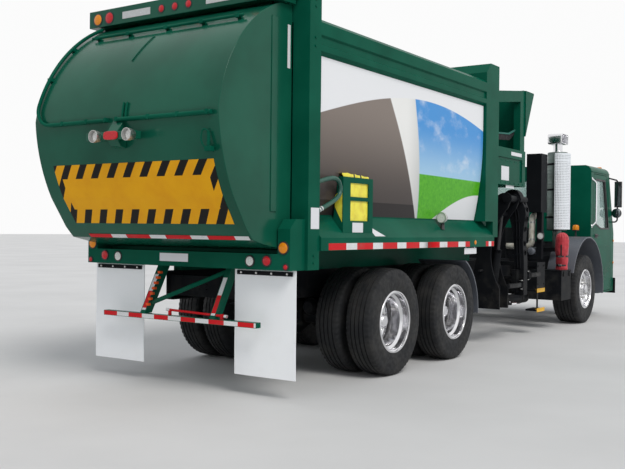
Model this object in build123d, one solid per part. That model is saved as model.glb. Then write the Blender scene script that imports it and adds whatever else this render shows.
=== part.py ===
from build123d import *
import math
import os

os.makedirs("parts", exist_ok=True)

# Side-loading refuse truck, in millimetres: +X forward, +Y left, +Z up, ground at Z = 0.
# Stations along X are measured from the rearmost axle and moved to the model's origin when saved.
ORIGIN_STATION = 2635.0

# Wheels and axles
TANDEM_SPACING = 1372.0
FRONT_AXLE_X = 6184.0
REAR_TYRE_R = 525.0
REAR_TYRE_W = 280.0
REAR_TYRE_FACE_Y = 1205.0
DUAL_SPACING = 345.0
FRONT_TYRE_R = 535.0
FRONT_TYRE_W = 385.0
FRONT_TYRE_FACE_Y = 1200.0
BEAD_R = 290.0
RIM_WALL = 25.0
RIM_LIP = 18.0
SEAT_GAP = 0.3
HUB_R = 118.0
SPINDLE_R = 50.0
AXLE_TUBE_R = 75.0
KINGPIN_Y = 880.0
KINGPIN_R = 25.0
KINGPIN_EYE_R = 55.0

# Frame
RAIL_OUT_Y = 432.0
RAIL_FLANGE = 90.0
RAIL_T = 12.0
RAIL_TOP = 1020.0
RAIL_H = 270.0
RAIL_REAR_X = -1500.0
RAIL_LOW_TOP = 640.0
RAIL_LOW_H = 200.0
RAIL_DROP_X = 6700.0
RAIL_DROP_RUN = 260.0
RAIL_FRONT_X = 7720.0

HITCH_Y = 85.7
HITCH_Z = 44.5
HITCH_HOLE_R = 7.0
TOW_EYE_Y = 392.5
TOW_EYE_T = 25.0
TOW_EYE_R = 20.0

# Load body
BODY_REAR_X = -1400.0
BODY_FRONT_X = 2120.0
FLOOR_TOP = 1420.0
FLOOR_UNDER = 1330.0
LEDGE_Y = 1240.0
LEDGE_TOP = 1350.0
LEDGE_LIP = 110.0
WALL_FOOT_Y = 1076.0
WALL_FOOT_Z = 1536.0
WALL_MID_Y = 1157.0
WALL_MID_Z = 2030.0
WALL_TOP_Y = 1184.0
WALL_TOP_Z = 2570.0
WALL_T = 40.0
RAIL_BAND_Y = 1220.0
BAND_Z = 2895.0
ROOF_EDGE_Z = BAND_Z + 300.0
ROOF_CROWN = 45.0
ROOF_T = 40.0
POST_REAR_X = -1570.0
POST_TOP = 3450.0
POST_INNER_Y = 1050.0
HEADER_TOP = POST_TOP - 150.0
HEADER_LOW = POST_TOP - 300.0
REAR_SILL_Z = 1080.0
REAR_BEAM_X = -1780.0
REAR_BEAM_TOP = 1215.0
BULKHEAD_FRONT_X = 2350.0
BULKHEAD_TOP = 3410.0
BULKHEAD_POST_W = 150.0
BULKHEAD_POST_T = 90.0
HOPPER_FRONT_X = 3460.0
HOPPER_TOP = 3255.0
HOPPER_TOP_FALL = 145.0
HOPPER_SILL_Z = 2460.0
HOPPER_POST_W = 150.0
FLARE_REACH = 290.0
FLARE_RISE = 595.0
ARM_BAY_Y = 640.0
ARM_BAY_TOP = 2000.0

# Tailgate
GATE_Y = 1050.0
GATE_T = 40.0
GATE_FRONT_X = -1585.0
GATE_HINGE_X = -1600.0
GATE_HINGE_Z = POST_TOP - 30.0
GATE_TOP = HEADER_TOP - 10.0
GATE_PIN_R = 15.0

# Kit box, work lamp and hose loop on the right ledge
KIT_REAR_X = -1004.0
KIT_FRONT_X = -486.0
KIT_OUT_Y = 1205.0
KIT_IN_Y = 1100.0
KIT_TOP = 1890.0
KIT_WALL = 12.0
KIT_WINDOW_X0 = -880.0
KIT_WINDOW_X1 = -560.0
BAG_STANDS_UP = 40.0
LEDGE_LAMP_X = 1085.0
AMBER_MARKER_X = 1795.0
LEDGE_LAMP_Y = -1165.0
LEDGE_LAMP_Z = 1560.0
LEDGE_LAMP_R = 60.0
HOSE_R = 20.0

# Cab
CAB_Y = 1150.0
CAB_REAR_X = 6550.0
CAB_FRONT_X = 7880.0
CAB_ROOF_Z = 2500.0
CAB_SKIN = 50.0
CAB_SILL_Z = 420.0
SCREEN_FOOT_Z = 1400.0
SCREEN_TOP_X = 7560.0
SCREEN_TOP_Z = 2400.0
BUMPER_TOP = 640.0
BUMPER_BOTTOM = 380.0
BUMPER_BULGE = 80.0
DOOR_REAR_X = 6700.0
DOOR_FRONT_X = 7690.0
DOOR_TOP_Z = 2360.0
DOOR_GAP = 8.0
FENDER_R = 815.0
FENDER_T = 20.0
FENDER_IN_Y = 830.0
FENDER_OUT_Y = 1235.0

# Side arm
SLEEVE_X = 2860.0
SLEEVE_W = 190.0
SLEEVE_BOTTOM = 450.0
SLEEVE_H = 180.0
SLEEVE_Y = 700.0
SLEEVE_WALL = 14.0
ARM_PIVOT_Y = -1205.0
ARM_PIVOT_Z = 1830.0
ARM_SHAFT_R = 45.0
MAST_T = 30.0
BOOM_X = SLEEVE_X + 430.0
BOOM_W = 130.0
BOOM_WALL = 12.0
FINGER_REAR_X = BOOM_X - 40.0
FINGER_REAR_Z = 740.0
FINGER_FRONT_X = BOOM_X + BOOM_W + 60.0
FINGER_FRONT_Z = 850.0
FINGER_PIN_Y = -1245.0
FINGER_PIN_R = 12.0
FINGER_H = 60.0
FINGER_REACH = 450.0

# Side boxes and silencer stack
BATTERY_X0 = 4900.0
BATTERY_X1 = 5330.0
BATTERY_Y = 1225.0
BATTERY_TOP = 860.0
STACK_X = 5500.0
STACK_Y = -950.0
STACK_R = 150.0
STACK_LOW = 1440.0
STACK_TOP = 2620.0
SHIELD_R = 190.0
SHIELD_T = 12.0
AIR_BOX_LOW = 1705.0
INTAKE_R = 45.0
ENGINE_Y = 330.0


def to_space(plane, offset, point):
    """Put a flat point on a plane: xz at y = offset, yz at x = offset or xy at z = offset."""
    a, b = point
    if plane == "xz":
        return (a, offset, b)
    if plane == "yz":
        return (offset, a, b)
    return (a, b, offset)


DIRECTIONS = {"xz": (0, 1, 0), "yz": (1, 0, 0), "xy": (0, 0, 1)}


def face_of(plane, offset, start, *moves):
    """Closed face: a move is a point for a line, or a (middle, end) pair for an arc."""
    edges = []
    here = start
    for move in moves:
        arc = isinstance(move[0], tuple)
        end = move[1] if arc else move
        if arc:
            edges.append(ThreePointArc(*[to_space(plane, offset, p) for p in (here, move[0], end)]))
        else:
            edges.append(Line(to_space(plane, offset, here), to_space(plane, offset, end)))
        here = end
    if here != start:
        edges.append(Line(to_space(plane, offset, here), to_space(plane, offset, start)))
    return make_face(edges)


def prism(plane, low, high, start, *moves):
    """Face swept straight from low to high along the plane's normal axis."""
    return extrude(face_of(plane, low, start, *moves), amount=high - low, dir=DIRECTIONS[plane])


def block(x0, x1, y0, y1, z0, z1):
    """Box between two corners."""
    return Pos((x0 + x1) / 2, (y0 + y1) / 2, (z0 + z1) / 2) * Box(x1 - x0, y1 - y0, z1 - z0)


def rod(axis, low, high, a, b, radius):
    """Cylinder along X, Y or Z from low to high, at (a, b) on the two other axes in order."""
    plane = {"x": "yz", "y": "xz", "z": "xy"}[axis]
    centre = to_space(plane, low, (a, b))
    flat = Plane(origin=centre, z_dir=DIRECTIONS[plane])
    return extrude(flat * Circle(radius), amount=high - low)


def turned(points, x, y, z, flip=1):
    """Solid of revolution about the Y direction: points are (along Y, radius)."""
    edges = [(x, y + flip * along, z + radius) for along, radius in points]
    face = make_face(Polyline(*edges, close=True))
    return revolve(face, axis=Axis((x, y, z), (0, 1, 0)), revolution_arc=360)


def mirrored(solid):
    """The same solid on the other side of the truck."""
    return mirror(solid, about=Plane.XZ)


def both_sides(solid):
    """A solid and its mirror image, as two solids or fused where they meet."""
    return solid + mirrored(solid)


def save(node, solid):
    """Move a node to the model's origin and write it."""
    moved = Pos(-ORIGIN_STATION, 0, 0) * solid
    solids = moved.solids()
    shape = solids[0] if len(solids) == 1 else Compound(children=list(solids))
    export_step(shape, f"parts/{node}.step")


# Frame rails with their drop under the cab, and the cross members
def rail_band(top_drop, bottom_rise, y0, y1):
    """A rail's side outline between two inset heights, from y0 to y1."""
    top = RAIL_TOP - top_drop
    low_top = RAIL_LOW_TOP - top_drop
    bottom = RAIL_TOP - RAIL_H + bottom_rise
    low_bottom = RAIL_LOW_TOP - RAIL_LOW_H + bottom_rise
    return prism(
        "xz", y0, y1,
        (RAIL_REAR_X, bottom),
        (RAIL_REAR_X, top),
        (RAIL_DROP_X, top),
        (RAIL_DROP_X + RAIL_DROP_RUN, low_top),
        (RAIL_FRONT_X, low_top),
        (RAIL_FRONT_X, low_bottom),
        (RAIL_DROP_X + RAIL_DROP_RUN - 100, low_bottom),
        (RAIL_DROP_X - 60, bottom),
    )


def frame_rails():
    """Two channel rails facing inwards, joined by cross members."""
    inner = RAIL_OUT_Y - RAIL_FLANGE
    whole = rail_band(0, 0, inner, RAIL_OUT_Y)
    rail = whole - rail_band(RAIL_T, RAIL_T, inner - 1, RAIL_OUT_Y - RAIL_T)
    frame = both_sides(rail)
    web = RAIL_OUT_Y - RAIL_T
    # Columns: station, width, depth
    members = [(-1440.0, 60.0, 190.0), (686.0, 120.0, 190.0), (2300.0, 80.0, 190.0), (3650.0, 80.0, 70.0),
               (6300.0, 80.0, 190.0)]
    for x, width, depth in members:
        top = RAIL_TOP - 40
        frame += block(x - width / 2, x + width / 2, -web, web, top - depth, top)
    rear_x = members[0][0]
    middle = RAIL_TOP - 40 - members[0][2] / 2
    for y in (-HITCH_Y / 2, HITCH_Y / 2):
        for z in (middle - HITCH_Z / 2, middle + HITCH_Z / 2):
            frame -= rod("x", rear_x - 50, rear_x + 50, y, z, HITCH_HOLE_R)
    for x in (7100.0, 7660.0):
        bottom = RAIL_LOW_TOP - RAIL_LOW_H + 40
        frame += block(x - 40, x + 40, -web, web, bottom, RAIL_LOW_TOP - 40)
    return frame


# Front axle beam with its leaf springs
def front_axle():
    """Dropped beam with kingpin eyes, and a leaf pack under each rail."""
    z = FRONT_TYRE_R
    x = FRONT_AXLE_X
    half = 50.0
    beam = prism(
        "yz", x - half, x + half,
        (0, 400), (560, 400), (740, z - 45), (KINGPIN_Y - 20, z - 35),
        (KINGPIN_Y - 20, z + 35), (700, z + 45), (520, 500), (0, 500),
    )
    beam = both_sides(beam)
    eye = rod("z", z - 35, z + 35, x, KINGPIN_Y, KINGPIN_EYE_R)
    beam += both_sides(eye)
    bore = rod("z", z - 60, z + 60, x, KINGPIN_Y, KINGPIN_R + SEAT_GAP)
    beam -= both_sides(bore)
    rail_bottom = RAIL_TOP - RAIL_H
    reach = 430.0
    y0 = RAIL_OUT_Y - RAIL_FLANGE + 5
    y1 = RAIL_OUT_Y - 5
    spring = prism(
        "xz", y0, y1,
        (x - reach, rail_bottom - 60),
        (x - reach, rail_bottom),
        (x - reach + 70, rail_bottom),
        ((x, 590.0), (x + reach - 70, rail_bottom)),
        (x + reach, rail_bottom),
        (x + reach, rail_bottom - 60),
        ((x, 499.0), (x - reach, rail_bottom - 60)),
    )
    return beam + both_sides(spring)


def knuckle():
    """Left steering knuckle: yoke, kingpin, plate and spindle."""
    x = FRONT_AXLE_X
    z = FRONT_TYRE_R
    eye_half = 35.0
    gap = 5.0
    arm = 45.0
    plate_y = KINGPIN_Y + KINGPIN_EYE_R + 10
    body = rod("z", z - eye_half - gap - arm, z + eye_half + gap + arm, x, KINGPIN_Y, KINGPIN_R)
    for low in (z - eye_half - gap - arm, z + eye_half + gap):
        body += rod("z", low, low + arm, x, KINGPIN_Y, KINGPIN_EYE_R)
        body += block(x - 50, x + 50, KINGPIN_Y, plate_y, low, low + arm)
    top = eye_half + gap + arm
    body += block(x - 50, x + 50, plate_y, plate_y + 30, z - top, z + top)
    body += rod("y", plate_y + 30, plate_y + 130, x, z, SPINDLE_R)
    return body


def tyre_profile(width, radius):
    """Cross section of a tyre about its own centre plane."""
    half = width / 2
    bead = half - 30
    return [
        (-bead, BEAD_R), (-half, BEAD_R + 100), (-half, radius - 90), (-half + 28, radius - 14),
        (-half + 50, radius), (half - 50, radius), (half - 28, radius - 14),
        (half, radius - 90), (half, BEAD_R + 100), (bead, BEAD_R),
    ]


def rim_half_width(width):
    """Half the rim's width, out to the far face of its lip."""
    return width / 2 - 30 + 6 + RIM_LIP


def dual_rim_profile():
    """Outer wheel of a pair: mounting face at 0, its barrel centred half the spacing out."""
    centre = DUAL_SPACING / 2
    half = rim_half_width(REAR_TYRE_W)
    seat = BEAD_R - SEAT_GAP
    low = centre - half
    high = centre + half
    inside = seat - RIM_WALL
    return [
        (0, SPINDLE_R + 30), (0, inside - 50), (low, inside), (low, seat + 16), (low + RIM_LIP, seat + 16),
        (low + RIM_LIP, seat), (high - RIM_LIP, seat), (high - RIM_LIP, seat + 16), (high, seat + 16),
        (high, inside), (low + 24, inside), (24, inside - 60), (24, SPINDLE_R + 30),
    ]


def dual_hub_profile():
    """Hub with its cap outwards and brake drum inwards, about the mounting face."""
    bore = SPINDLE_R + SEAT_GAP
    return [
        (190, 0), (190, 70), (110, 96), (24, HUB_R), (-60, HUB_R), (-60, 205), (-250, 205),
        (-250, 185), (-120, 185), (-120, bore), (70, bore), (70, 0),
    ]


def rear_pair(x, side):
    """Twin tyres and their rims on one hub, side +1 left or -1 right."""
    outer_y = REAR_TYRE_FACE_Y - REAR_TYRE_W / 2
    mount_y = outer_y - DUAL_SPACING / 2
    z = REAR_TYRE_R
    profile = tyre_profile(REAR_TYRE_W, REAR_TYRE_R)
    tyres = [turned(profile, x, side * y, z) for y in (outer_y, outer_y - DUAL_SPACING)]
    rims = turned(dual_rim_profile(), x, side * mount_y, z, side)
    rims += turned(dual_rim_profile(), x, side * mount_y, z, -side)
    rims += turned(dual_hub_profile(), x, side * mount_y, z, side)
    return Compound(children=tyres), rims


def front_wheel():
    """Left front wheel: wide tyre and convex rim with its hub."""
    y = FRONT_TYRE_FACE_Y - FRONT_TYRE_W / 2
    x = FRONT_AXLE_X
    z = FRONT_TYRE_R
    tyre = turned(tyre_profile(FRONT_TYRE_W, FRONT_TYRE_R), x, y, z)
    half = rim_half_width(FRONT_TYRE_W)
    seat = BEAD_R - SEAT_GAP
    inside = seat - RIM_WALL
    barrel = [
        (-half, inside), (-half, seat + 16), (-half + RIM_LIP, seat + 16), (-half + RIM_LIP, seat),
        (half - RIM_LIP, seat), (half - RIM_LIP, seat + 16), (half, seat + 16), (half, inside),
        (80, inside), (120, 200), (120, 110), (95, 110), (95, 190), (50, inside),
    ]
    hub = [(200, 0), (200, 70), (120, 90), (95, HUB_R), (-20, HUB_R), (-20, SPINDLE_R + SEAT_GAP),
           (75, SPINDLE_R + SEAT_GAP), (75, 0)]
    rim = turned(barrel, x, y, z) + turned(hub, x, y, z)
    return tyre, rim


# Rear axles, their beams and the propeller shafts
def rear_axles():
    """Two driving axle housings with the shafts that feed them, and walking beams."""
    z = REAR_TYRE_R
    mount_y = REAR_TYRE_FACE_Y - REAR_TYRE_W / 2 - DUAL_SPACING / 2
    tube_end = mount_y - 130
    whole = None
    for x in (0.0, TANDEM_SPACING):
        tube = rod("y", -tube_end, tube_end, x, z, AXLE_TUBE_R)
        spindle = rod("y", -mount_y - 60, mount_y + 60, x, z, SPINDLE_R)
        bowl = turned([(-150, 0), (-150, 110), (-60, 190), (60, 190), (150, 110), (150, 0)], x, 0, z)
        nose = rod("x", x, x + 330, 0, z + 40, 80)
        axle = tube + spindle + bowl + nose
        whole = axle if whole is None else whole + axle
    shaft = rod("x", 0, TANDEM_SPACING, 0, z + 40, 45)
    whole += shaft
    start = Vector(TANDEM_SPACING + 300, 0, z + 40)
    end = Vector(4290, 0, 860)
    run = end - start
    slant = Plane(origin=start, z_dir=run)
    whole += extrude(slant * Circle(48), amount=run.length)
    beam_top = z - AXLE_TUBE_R + 20
    beam = prism(
        "xz", RAIL_OUT_Y + 15, RAIL_OUT_Y + 95,
        (-90, beam_top), (90, beam_top), (TANDEM_SPACING / 2, beam_top + 60),
        (TANDEM_SPACING - 90, beam_top), (TANDEM_SPACING + 90, beam_top),
        (TANDEM_SPACING + 60, beam_top - 90), (TANDEM_SPACING / 2, beam_top - 100), (-60, beam_top - 90),
    )
    return whole + both_sides(beam)


def bogie_hangers():
    """Brackets that carry the walking beams' middle on the rails."""
    x = TANDEM_SPACING / 2
    low = REAR_TYRE_R - AXLE_TUBE_R + 80.5
    bracket = prism(
        "xz", RAIL_OUT_Y, RAIL_OUT_Y + 90,
        (x - 90, low), (x + 90, low), (x + 220, RAIL_TOP - 40), (x - 220, RAIL_TOP - 40),
    )
    return both_sides(bracket)


def engine():
    """Engine between the rails behind the cab, with its gearbox."""
    y = ENGINE_Y
    block_part = block(5000, 6080, -y, y, 640, 1480)
    sump = block(5150, 5700, -220, 220, 560, 640)
    box = block(4300, 5000, -230, 230, 700, 1010)
    web = RAIL_OUT_Y - RAIL_T
    mounts = both_sides(block(5300, 5400, y, web, 860, 900)) + both_sides(block(4400, 4480, 230, web, 860, 900))
    return block_part + sump + box + mounts


# Load body
def wall_profile(side, inset):
    """Curved side wall's face line, inset from the outside, from foot to top rail."""
    foot = (side * (WALL_FOOT_Y - inset), WALL_FOOT_Z)
    middle = (side * (WALL_MID_Y - inset), WALL_MID_Z)
    top = (side * (WALL_TOP_Y - inset), WALL_TOP_Z)
    return foot, middle, top


def body_wall(side, x0, x1):
    """Curved wall with the banded top rail folded into it."""
    foot, middle, top = wall_profile(side, 0)
    in_foot, in_middle, in_top = wall_profile(side, WALL_T)
    band = RAIL_BAND_Y
    return prism(
        "yz", x0, x1,
        foot, (middle, top),
        (side * WALL_TOP_Y, BAND_Z),
        (side * band, BAND_Z + 28), (side * band, BAND_Z + 78), (side * (band - 18), BAND_Z + 92),
        (side * (band - 18), BAND_Z + 150), (side * band, BAND_Z + 165), (side * band, ROOF_EDGE_Z - 30),
        (side * (band - 30), ROOF_EDGE_Z), (in_top[0], ROOF_EDGE_Z),
        in_top, (in_middle, in_foot),
    )


def body_floor():
    """Floor pan with sloped side ledges, sills on the rails and cross bearers."""
    half_top = [(0, FLOOR_TOP), (1000, FLOOR_TOP), (WALL_FOOT_Y - WALL_T, WALL_FOOT_Z),
                (WALL_FOOT_Y, WALL_FOOT_Z), (LEDGE_Y, LEDGE_TOP), (LEDGE_Y, LEDGE_TOP - LEDGE_LIP),
                (LEDGE_Y - 40, LEDGE_TOP - LEDGE_LIP), (LEDGE_Y - 40, FLOOR_UNDER - 10),
                (LEDGE_Y - 60, FLOOR_UNDER), (0, FLOOR_UNDER)]
    pan = both_sides(prism("yz", POST_REAR_X + 170, BULKHEAD_FRONT_X, *half_top))
    front = block(BULKHEAD_FRONT_X, HOPPER_FRONT_X, -ARM_BAY_Y, WALL_TOP_Y - WALL_T, FLOOR_UNDER, FLOOR_TOP)
    pan += front
    inner = RAIL_OUT_Y - RAIL_FLANGE
    pan += both_sides(block(BODY_REAR_X, HOPPER_FRONT_X, inner, RAIL_OUT_Y, RAIL_TOP, FLOOR_UNDER))
    bearers = 8
    pitch = (BULKHEAD_FRONT_X - BODY_REAR_X - 300) / (bearers - 1)
    for i in range(bearers):
        x = BODY_REAR_X + 150 + i * pitch
        pan += block(x - 30, x + 30, -LEDGE_Y + 40, LEDGE_Y - 40, LEDGE_TOP - LEDGE_LIP, FLOOR_UNDER)
    return pan


def body_roof():
    """Crowned roof sheet between the two walls."""
    half = WALL_TOP_Y - WALL_T
    low = ROOF_EDGE_Z - ROOF_T - 5
    return prism(
        "yz", BODY_REAR_X, BODY_FRONT_X,
        (-half, low), (-half, low + ROOF_T), ((0, low + ROOF_T + ROOF_CROWN), (half, low + ROOF_T)),
        (half, low), ((0, low + ROOF_CROWN), (-half, low)),
    )


def rear_frame():
    """Ring of posts and beams that the tailgate closes on, with the lamp boxes and hinge ears."""
    y = RAIL_BAND_Y
    x0 = POST_REAR_X
    x1 = BODY_REAR_X
    ring = block(x0, x1, -y, y, REAR_SILL_Z, HEADER_TOP)
    ring += both_sides(block(x0, x1, POST_INNER_Y + 20, y, HEADER_TOP, POST_TOP))
    ring -= block(x0 - 1, x1 + 1, -POST_INNER_Y, POST_INNER_Y, FLOOR_TOP, HEADER_LOW)
    ring += block(REAR_BEAM_X, x0, -1190, 1190, REAR_SILL_Z, REAR_BEAM_TOP)
    lamp_box = prism(
        "xz", GATE_Y + 16, 1190,
        (REAR_BEAM_X, REAR_BEAM_TOP), (REAR_BEAM_X, 1421), (REAR_BEAM_X + 80, 1502), (x0, 1502),
        (x0, REAR_BEAM_TOP),
    )
    ring += both_sides(lamp_box)
    ear = prism(
        "xz", GATE_Y + 60, GATE_Y + 90,
        (x0, GATE_HINGE_Z - 60), (x0, POST_TOP), (GATE_HINGE_X - 30, POST_TOP),
        (GATE_HINGE_X - 30, GATE_HINGE_Z - 40),
    )
    ear -= rod("y", GATE_Y + 50, GATE_Y + 100, GATE_HINGE_X, GATE_HINGE_Z, GATE_PIN_R + SEAT_GAP)
    return ring + both_sides(ear)


def bulkhead():
    """Deep front frame of the load space, standing above the roof."""
    y = RAIL_BAND_Y
    x0 = BODY_FRONT_X
    x1 = BULKHEAD_FRONT_X
    plate = prism(
        "xz", -y, y,
        (x0, WALL_FOOT_Z), (x0, BULKHEAD_TOP - 120), (x0 + 120, BULKHEAD_TOP), (x1, BULKHEAD_TOP),
        (x1, WALL_FOOT_Z),
    )
    plate -= block(x0 - 1, x1 + 1, -1000, 1000, WALL_FOOT_Z - 1, 2560)
    post = block(x1, x1 + BULKHEAD_POST_W, -y, -y + BULKHEAD_POST_T, LEDGE_TOP, BULKHEAD_TOP)
    return plate + post


def hopper_side(low, height, y0, y1):
    """Upright sheet along the hopper: its top falls to the rear; low and height place it under that top."""
    x0 = BULKHEAD_FRONT_X
    x1 = HOPPER_FRONT_X
    bottom = [(x1, low), (x0, low)]
    if height:
        bottom = [(x1, HOPPER_TOP - height), (x0, HOPPER_TOP - HOPPER_TOP_FALL - height)]
    return prism("xz", y0, y1, (x0, HOPPER_TOP - HOPPER_TOP_FALL), (x1, HOPPER_TOP), *bottom)


def hopper():
    """Open-topped hopper with a side mouth above the arm's recess and a scoop on its front."""
    x0 = BULKHEAD_FRONT_X
    x1 = HOPPER_FRONT_X
    y = WALL_TOP_Y
    t = WALL_T
    whole = hopper_side(FLOOR_TOP, 0, y - t, y)
    whole += block(x1 - t, x1, -y, y, ARM_BAY_TOP, HOPPER_TOP)
    whole += block(x1 - t, x1, -ARM_BAY_Y, y, FLOOR_TOP, ARM_BAY_TOP)
    whole += block(x0, x1, -y, -ARM_BAY_Y, ARM_BAY_TOP, ARM_BAY_TOP + t)
    whole += block(x0, x1, -ARM_BAY_Y - t, -ARM_BAY_Y, FLOOR_UNDER, ARM_BAY_TOP)
    whole += block(x0, x1, -y, -y + t, ARM_BAY_TOP, HOPPER_SILL_Z)
    whole += hopper_side(0, 140, -y, -y + 90)
    whole += block(x1 - HOPPER_POST_W, x1, -y, -y + 90, HOPPER_SILL_Z, HOPPER_TOP - 20)
    # Columns: frame bars on the side below the mouth, as shares of the length, and heights above the recess
    sill = HOPPER_SILL_Z - ARM_BAY_TOP
    bars = [(0.0, 1.0, sill - 120, sill), (0.0, 1.0, 0.0, 50.0), (0.9, 1.0, 0.0, sill)]
    for start, end, low, high in bars:
        length = x1 - x0
        whole += block(x0 + start * length, x0 + end * length, -y - 16, -y, ARM_BAY_TOP + low, ARM_BAY_TOP + high)
    tip = x1 + FLARE_REACH
    foot = HOPPER_TOP - FLARE_RISE
    flare = prism(
        "xz", -y - 16, y,
        (x1, foot), (tip, HOPPER_TOP - 20), (tip, HOPPER_TOP), (x1, HOPPER_TOP),
    )
    flare -= prism(
        "xz", -y + 10, y - 30,
        (x1, foot + 120), (tip - 50, HOPPER_TOP - 18), (tip - 50, HOPPER_TOP + 50), (x1, HOPPER_TOP + 50),
    )
    whole += flare
    post_y = RAIL_BAND_Y - BULKHEAD_POST_T
    return whole - block(x0 - 1, x0 + BULKHEAD_POST_W, -RAIL_BAND_Y, -post_y, LEDGE_TOP, BULKHEAD_TOP)


def packer():
    """Packing ram that slides along the hopper floor."""
    x1 = HOPPER_FRONT_X - WALL_T - 20
    low = FLOOR_TOP + SEAT_GAP
    top = ARM_BAY_TOP - 40
    return prism(
        "xz", -ARM_BAY_Y + 20, 980,
        (x1 - 240, low), (x1, low), (x1, top), (x1 - 120, top), ((x1 - 215, top - 110), (x1 - 240, top - 260)),
    )


# Tailgate
def gate_face(plane_y, length, inset, front_x):
    """Bulged side outline, inset by a wall's thickness, swept across the truck."""
    t = inset
    return prism(
        "xz", plane_y, plane_y + length,
        (front_x, GATE_TOP - t), (-1760, GATE_TOP - 15 - t),
        ((-2300 + 0.7 * t, 2866 - 0.7 * t), (-2522 + t, 2332)),
        ((-2472 + 0.97 * t, 2014 + 0.2 * t), (-2339 + 0.9 * t, 1671 + 0.4 * t)),
        (-2173 + 0.8 * t, 1419 + 0.6 * t), (-2087 + 0.4 * t, 1328 + 0.9 * t),
        (-1854, 1277 + t), (front_x, 1240 + t),
    )


def tailgate():
    """Bulged shell with side ribs and the lamp visor on top."""
    shell = gate_face(-GATE_Y, 2 * GATE_Y, 0, GATE_FRONT_X)
    shell -= gate_face(-GATE_Y + GATE_T, 2 * (GATE_Y - GATE_T), GATE_T, GATE_FRONT_X + 50)
    rib = block(-1870, -1790, GATE_Y, GATE_Y + 8, 1560, HEADER_LOW)
    shell += both_sides(rib)
    visor = block(-1880, GATE_FRONT_X - 5, -GATE_Y - 40, GATE_Y + 40, GATE_TOP - 5, POST_TOP - 10)
    pin = rod("y", GATE_Y, GATE_Y + 95, GATE_HINGE_X, GATE_HINGE_Z, GATE_PIN_R)
    return shell + visor + both_sides(pin)


def tailgate_pipes():
    """Conduit round the tailgate and the lamp bracket in its middle."""
    route = [(-2150, 480, 3110), (-2320, 900, 2935), (-2550, 880, 2500), (-2568, 760, 2296),
             (-2568, -1000, 2296)]
    path = FilletPolyline(*route, radius=70)
    start = Plane(origin=path @ 0, z_dir=path % 0)
    tube = sweep(start * Circle(16), path=path)
    bracket = block(-2640, -2552, -280, 260, 2120, 2185)
    stub = block(-2600, -2500, -60, 60, 2060, 2330)
    lamps = rod("x", -2690, -2600, 130, 2150, 45)
    lamps += rod("x", -2690, -2600, -190, 2150, 45)
    return tube + bracket + stub + lamps


# Rear underride guard, mud flaps and quarter fenders
def rear_bumper():
    """Step bar on two sloping arms under the rear beam, with a slanting brace between them."""
    bar = block(-1840, -1780, -900, 900, 600, 645)
    arm = prism(
        "xz", 380, 440,
        (-1500, 1080), (-1600, 1080), (-1830, 645), (-1790, 645), (-1740, 645),
    )
    start = Vector(-1742, 405, 725)
    run = Vector(-1555, -405, 1060) - start
    brace = extrude(Plane(origin=start, z_dir=run) * Circle(20), amount=run.length)
    return bar + both_sides(arm) + brace


def mudflaps():
    """Hanging flap behind each pair of tyres."""
    flap = block(-1682, -1668, 538, 1184, 170, REAR_SILL_Z)
    return both_sides(flap)


def quarter_fenders():
    """Curved fender ahead of the front drive axle."""
    x = TANDEM_SPACING
    z = REAR_TYRE_R
    outer = REAR_TYRE_R + 95
    inner = outer - 16
    c = math.cos(math.radians(45))
    fender = prism(
        "xz", 600, 1200,
        (x + outer, z - 60), ((x + outer * c, z + outer * c), (x + 260, z + math.sqrt(outer**2 - 260**2))),
        (x + 260, z + math.sqrt(inner**2 - 260**2)), ((x + inner * c, z + inner * c), (x + inner, z - 60)),
    )
    bracket = block(x + 330, x + 380, RAIL_OUT_Y, 640, RAIL_TOP - 60, RAIL_TOP - 20)
    return both_sides(fender + bracket)


def front_fenders():
    """Plastic arch over each front wheel."""
    x = FRONT_AXLE_X
    z = FRONT_TYRE_R
    outer = FENDER_R
    inner = FENDER_R - FENDER_T
    rear_z = 810.0
    front_z = 430.0

    def at(radius, height, sign):
        return (x + sign * math.sqrt(radius**2 - (height - z) ** 2), height)

    fender = prism(
        "xz", FENDER_IN_Y, FENDER_OUT_Y,
        at(outer, rear_z, -1), ((x, z + outer), at(outer, front_z, 1)),
        at(inner, front_z, 1), ((x, z + inner), at(inner, rear_z, -1)),
    )
    return both_sides(fender)


# Tanks, boxes and exhaust
def fuel_tank():
    """Round-cornered tank on the left rail, on two straps."""
    x0 = SLEEVE_X + SLEEVE_W + 100
    length = 1100.0
    y0 = RAIL_OUT_Y + 60
    tank = prism(
        "yz", x0, x0 + length,
        (y0, 480), (y0, 960), (1020, 960), ((1105, 925), (1140, 840)), (1140, 600), ((1105, 515), (1020, 480)),
    )
    for x in (x0 + 150, x0 + length - 210):
        tank += block(x, x + 60, RAIL_OUT_Y, y0, 780, 1000)
    return tank


def battery_box():
    """Black box low on the right, ahead of the arm, that carries the covered extinguisher."""
    box = block(BATTERY_X0, BATTERY_X1, -BATTERY_Y, -700, 430, BATTERY_TOP)
    return box + block(BATTERY_X0 + 50, BATTERY_X1 - 50, -700, -RAIL_OUT_Y, 780, 850)


def extinguisher():
    """Fire bottle standing under its cover on the battery box."""
    x = BATTERY_X1 - 115
    y = -BATTERY_Y + 100
    return rod("z", BATTERY_TOP, BATTERY_TOP + 500, x, y, 92) + rod("z", BATTERY_TOP + 500, BATTERY_TOP + 550, x, y, 55)


def air_cleaner():
    """Tall black intake box behind the cab, on a post from the rail."""
    tall = block(4860, 5110, -925, -700, AIR_BOX_LOW, 2560)
    leg = block(4900, 4980, -860, -RAIL_OUT_Y + 30, RAIL_TOP, RAIL_TOP + 60)
    return tall + leg + block(4900, 4980, -925, -845, RAIL_TOP, AIR_BOX_LOW)


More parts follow.
